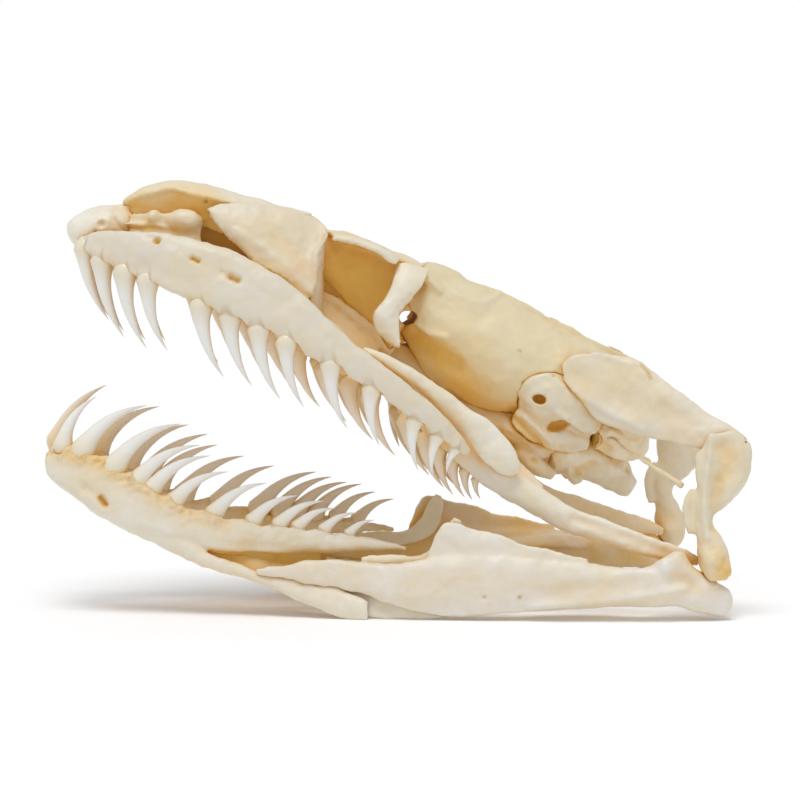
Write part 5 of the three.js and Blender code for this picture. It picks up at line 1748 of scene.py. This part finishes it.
# The material of one bone and, where it carries them, of its teeth
def boneMaterial(name, bone, hasTeeth):
    wish = {**materialDefaults, **bone.get("look", {})}
    material = bpy.data.materials.new(name)
    material.use_nodes = True
    tree = material.node_tree
    tree.nodes.clear()
    result = newNode(tree, "ShaderNodeOutputMaterial", (1100, 0))
    shader = newNode(tree, "ShaderNodeBsdfPrincipled", (800, 0))
    tree.links.new(shader.outputs[0], result.inputs["Surface"])
    vector = newNode(tree, "ShaderNodeTexCoord", (-1000, 0)).outputs["Object"]
    # Painted shade: occlusion turns the hollows ochre
    hollowShade = newNode(tree, "ShaderNodeAmbientOcclusion", (-1000, -300), samples=hollowShadeLook["samples"])
    hollowShade.inputs["Distance"].default_value = hollowShadeLook["distance"]
    hollowShadeMask = rangeOf(tree, (-750, -300), hollowShade.outputs["AO"], hollowShadeLook["open"], hollowShadeLook["deep"])
    split = newNode(tree, "ShaderNodeSeparateXYZ", (-1000, -450))
    tree.links.new(vector, split.inputs[0])
    floorFrom, floorTo = hollowShadeLook["floorFrom"], hollowShadeLook["floorTo"]
    offFloor = rangeOf(tree, (-750, -450), split.outputs["Z"], floorFrom, floorTo)
    hollowShadeMask = maths(tree, (-600, -350), "MULTIPLY", hollowShadeMask, offFloor)
    tone = groupNode(tree, groups["tone"], (-400, 200))
    for title in ("Ivory", "Warm", "Ochre", "Darkshade", "Mottle", "Streaks"):
        tone.inputs[title].default_value = wish[title.lower()]
    tree.links.new(vector, tone.inputs["Vector"])
    tree.links.new(hollowShadeMask, tone.inputs["HollowShade"])
    stain = attributeValue(tree, "stain", (-750, 100))
    tree.links.new(stain, tone.inputs["Stain"])
    tree.links.new(attributeValue(tree, "shadeLine", (-750, -50)), tone.inputs["Line"])
    surface = groupNode(tree, groups["surface"], (-400, -250))
    surface.inputs["Pores"].default_value = wish["pores"]
    tree.links.new(vector, surface.inputs["Vector"])
    tree.links.new(attributeValue(tree, "rough", (-750, -600)), surface.inputs["Crumble"])
    pitShade = maths(tree, (-150, -150), "MULTIPLY", surface.outputs["Pits"], wish["pitShade"])
    colour = mixColour(tree, (0, 150), pitShade, tone.outputs["Color"], wish["darkshade"])
    height = surface.outputs["Height"]
    stainAndShade = tone.outputs["StainAndShade"]
    roughness = rangeOf(tree, (200, -150), stainAndShade, 0, 1, wish["roughness"], wish["stainedRoughness"])
    if hasTeeth:
        crown = attributeValue(tree, "crown", (-750, -800))
        isTooth = rangeOf(tree, (-500, -800), crown, toothLook["from"], toothLook["to"])
        enamel = groupNode(tree, groups["tooth"], (-400, 500))
        tree.links.new(vector, enamel.inputs["Vector"])
        tree.links.new(crown, enamel.inputs["Crown"])
        # Painted shade in hollows dims a tooth towards ochre
        dim = maths(tree, (-250, 420), "MULTIPLY", hollowShadeMask, toothLook["hollowShade"])
        # Painted shade of a tooth's inner side and of the inner rows
        innerDim = maths(tree, (-250, 340), "MULTIPLY", stain, toothLook["stain"])
        dim = maths(tree, (-180, 380), "ADD", dim, innerDim, clamp=True)
        shaded = mixColour(tree, (-100, 500), dim, enamel.outputs["Color"], wish["ochre"])
        colour = mixColour(tree, (200, 250), isTooth, colour, shaded)
        roughness = mixColour(tree, (400, -150), isTooth, roughness, toothLook["roughness"])
        dull = rangeOf(tree, (0, -500), isTooth, 0, 1, 1, toothLook["bump"])
        height = maths(tree, (200, -400), "MULTIPLY", height, dull)
    tree.links.new(colour, shader.inputs["Base Color"])
    tree.links.new(roughness, shader.inputs["Roughness"])
    bump = newNode(tree, "ShaderNodeBump", (600, -400))
    bump.inputs["Strength"].default_value = wish["bump"]
    bump.inputs["Distance"].default_value = wish["bumpDistance"]
    tree.links.new(height, bump.inputs["Height"])
    tree.links.new(bump.outputs[0], shader.inputs["Normal"])
    shader.inputs["Specular IOR Level"].default_value = wish["specular"]
    return material


# Bones on the middle plane; each of the others is made once and mirrored
middleBones = ["premaxilla", "parietal", "supraoccipital", "basioccipital", "parasphenoid"]
bones = {
    "premaxilla": premaxilla,
    "nasal": nasal,
    "septomaxilla": septomaxilla,
    "vomer": vomer,
    "prefrontal": prefrontal,
    "frontal": frontal,
    "supraorbital": supraorbital,
    "postorbital": postorbital,
    "parietal": parietal,
    "prootic": prootic,
    "supratemporal": supratemporal,
    "supraoccipital": supraoccipital,
    "exoccipital": exoccipital,
    "basioccipital": basioccipital,
    "parasphenoid": parasphenoid,
    "quadrate": quadrate,
    "stapes": stapes,
    "maxilla": maxilla,
    "ectopterygoid": ectopterygoid,
    "palatine": palatine,
    "pterygoid": pterygoid,
    "dentary": dentary,
    "splenial": splenial,
    "angular": angular,
    "coronoid": coronoid,
    "compound": compound,
}
# The neighbours whose grown shapes are cut out of a bone, so that a seam stays between them
neighbours = {
    "nasal": ["premaxilla", "prefrontal", "septomaxilla", "vomer", "palatine", "maxilla"],
    "septomaxilla": ["premaxilla", "maxilla"],
    "vomer": ["premaxilla", "septomaxilla", "palatine"],
    "prefrontal": ["maxilla"],
    "frontal": ["prefrontal", "nasal", "parietal", "postorbital", "parasphenoid"],
    "supraorbital": ["prefrontal", "frontal", "postorbital", "parietal"],
    "postorbital": ["parietal", "ectopterygoid"],
    "prootic": ["supratemporal", "exoccipital"],
    "supratemporal": [],
    "exoccipital": ["supratemporal"],
    "quadrate": ["supratemporal", "compound", "pterygoid", "stapes"],
    "stapes": ["supratemporal", "exoccipital"],
    "maxilla": ["premaxilla"],
    "ectopterygoid": ["maxilla"],
    "palatine": ["maxilla", "prefrontal", "parasphenoid", "frontal"],
    "pterygoid": ["palatine", "ectopterygoid", "parasphenoid", "compound"],
    "dentary": [],
    "splenial": ["dentary"],
    "angular": ["dentary", "splenial"],
    "coronoid": ["dentary", "splenial", "angular"],
    "compound": ["dentary", "splenial", "angular", "coronoid"],
    "premaxilla": [],
    "parietal": ["supratemporal", "prootic", "exoccipital", "supraoccipital", "parasphenoid"],
    "supraoccipital": ["supratemporal", "exoccipital"],
    "basioccipital": ["exoccipital", "prootic", "supraoccipital"],
    "parasphenoid": ["basioccipital", "prootic"],
}
# Holes that go through: the marrow's at the back, the eye nerve's, and two in the ear region
marrowHole = {"centre": [52.2, 0, 31.4], "radii": [4.6, 2.7, 2.8]}
opticHole = {"centre": [1, 0, 58.4], "radii": [1.9, 18, 1.7]}
holes = {
    "prootic": [
        {"centre": [28.9, -12.6, 42.4], "radii": [1.5, 3.4, 1.1], "turn": 20},
        {"centre": [32.8, -11.8, 36.9], "radii": [2.9, 3.6, 1.2], "turn": -16},
    ],
    "exoccipital": [marrowHole],
    "supraoccipital": [marrowHole],
    "basioccipital": [marrowHole],
    "frontal": [opticHole],
    "parietal": [opticHole],
}

# All rows draw from the same random numbers, so their order counts
toothSeed = 41
chance = randomNumbers(toothSeed)
teeth = {
    "maxilla": [toothRow(maxillaLower, maxillaRow, chance)] * 2,
    "palatine": [toothRow(palatineLower, palatineRow, chance)] * 2,
    "pterygoid": [toothRow(pterygoidLower, pterygoidRow, chance)] * 2,
    "dentary": [
        toothRow(dentaryUpper, dentaryRow, chance),
        toothRow(dentaryUpper, dentaryRightRow, chance),
    ],
}
print("placed the teeth", sum(len(row) for rows in teeth.values() for row in rows), flush=True)

innerBones = ["coronoid", "splenial", "vomer", "parasphenoid"]
facetShare = {"parietal": 1.15, "compound": 1.1}  # the two largest bones get slightly larger facets


# The part's material slot that a bone belongs to
def slotOf(name):
    if name in teeth:
        return "toothed_bone"
    return "inner_bone" if name in innerBones else "bone"


# One bone's finished mesh in millimetres
def boneMesh(name, rowTeeth):
    bone = bones[name]
    facet = detail["facet"] * facetShare.get(name, 1)
    mesh = refined(name, shapesOf(bone), cuttersFor(name), facet, detail["smoothing"])
    largestBody(mesh)
    letWander(mesh)
    shadeLine, rough, tint = np.zeros((3, len(mesh.vertices)))
    if rowTeeth:
        shadeLine, rough = openSockets(mesh, rowTeeth, {**socketDefaults, **bone.get("sockets", {})})
    if bone.get("marks"):
        dark, crumble, tint = markBone(mesh, bone["marks"], isMiddle(name))
        shadeLine, rough = np.maximum(shadeLine, dark), np.maximum(rough, crumble)
    finishSurface(mesh, bone, shadeLine, rough, tint, len(name))
    return withTeeth(mesh, rowTeeth, bone.get("toothShade", 0)) if rowTeeth else mesh


for name, bone in bones.items():
    material = boneMaterial(name, bone, name in teeth)
    if isMiddle(name):
        made = boneMesh(name, [])
        place(name + "Bone", name, made, material, slotOf(name))
    else:
        leftTeeth, rightTeeth = teeth.get(name, [[], []])
        made = boneMesh(name, leftTeeth)
        sameTeeth = leftTeeth is rightTeeth or not leftTeeth
        right = mirroredMesh(made if sameTeeth else boneMesh(name, rightTeeth))
        place(name + "Left", name + "_left", made, material, slotOf(name))
        place(name + "Right", name + "_right", right, material, slotOf(name))
    print("made", name, len(made.polygons), flush=True)

# Studio: a pale floor, one broad soft light from above, and an evenly lit white room
studio = {
    "floor": {"half": 30, "colour": (0.985, 0.985, 0.985, 1), "roughness": 0.9, "specular": 0.0},
    "room": (0.567, 0.583, 0.61, 1),
    "seen": (1, 1, 1, 1),
    "sun": {"from": (-0.1, -0.26, 0.94), "angle": 28, "power": 1.5, "colour": (1, 1, 1)},
}
view = {
    "target": (0.001512, 0, 0.04315),
    "distance": 0.7,
    "height": 5.5,  # degrees above the floor
    "turn": -5.0,
    "lens": 150,
    "sensor": 36,
    "near": 0.01,
    "far": 20,
}


def makeFloor(wish):
    mesh = bpy.data.meshes.new("floor")
    half = wish["half"]
    corners = [(-half, -half, 0), (half, -half, 0), (half, half, 0), (-half, half, 0)]
    mesh.from_pydata(corners, [], [(0, 1, 2, 3)])
    floor = bpy.data.objects.new("floor", mesh)
    bpy.context.collection.objects.link(floor)
    material = bpy.data.materials.new("floorPaper")
    material.use_nodes = True
    shader = material.node_tree.nodes["Principled BSDF"]
    shader.inputs["Base Color"].default_value = wish["colour"]
    shader.inputs["Roughness"].default_value = wish["roughness"]
    shader.inputs["Specular IOR Level"].default_value = wish["specular"]
    mesh.materials.append(material)


def makeSun(wish):
    light = bpy.data.lights.new("sun", "SUN")
    light.angle = math.radians(wish["angle"])
    light.energy = wish["power"]
    light.color = wish["colour"]
    lamp = bpy.data.objects.new("sun", light)
    lamp.rotation_euler = (-Vector(wish["from"])).to_track_quat("-Z", "Y").to_euler()
    bpy.context.collection.objects.link(lamp)


# The room lights the bones less than it shows, so that shadows stay soft but clear
def makeRoom():
    world = bpy.data.worlds.new("room")
    world.use_nodes = True
    tree = world.node_tree
    background = tree.nodes["Background"]
    seen = newNode(tree, "ShaderNodeLightPath", (-500, 0)).outputs["Is Camera Ray"]
    colour = mixColour(tree, (-250, 0), seen, studio["room"], studio["seen"])
    tree.links.new(colour, background.inputs["Color"])
    bpy.context.scene.world = world


def makeCamera():
    turn, height = math.radians(view["turn"]), math.radians(view["height"])
    level = math.cos(height)
    forward = Vector((-math.sin(turn) * level, math.cos(turn) * level, -math.sin(height)))
    camera = bpy.data.cameras.new("camera")
    camera.sensor_width = view["sensor"]
    camera.lens = view["lens"]
    camera.clip_start = view["near"]
    camera.clip_end = view["far"]
    holder = bpy.data.objects.new("camera", camera)
    holder.location = Vector(view["target"]) - forward * view["distance"]
    holder.rotation_euler = forward.to_track_quat("-Z", "Y").to_euler()
    bpy.context.collection.objects.link(holder)
    bpy.context.scene.camera = holder


makeFloor(studio["floor"])
makeSun(studio["sun"])
makeRoom()
makeCamera()
print("made the studio", flush=True)
bpy.context.scene.view_settings.view_transform = "Standard"
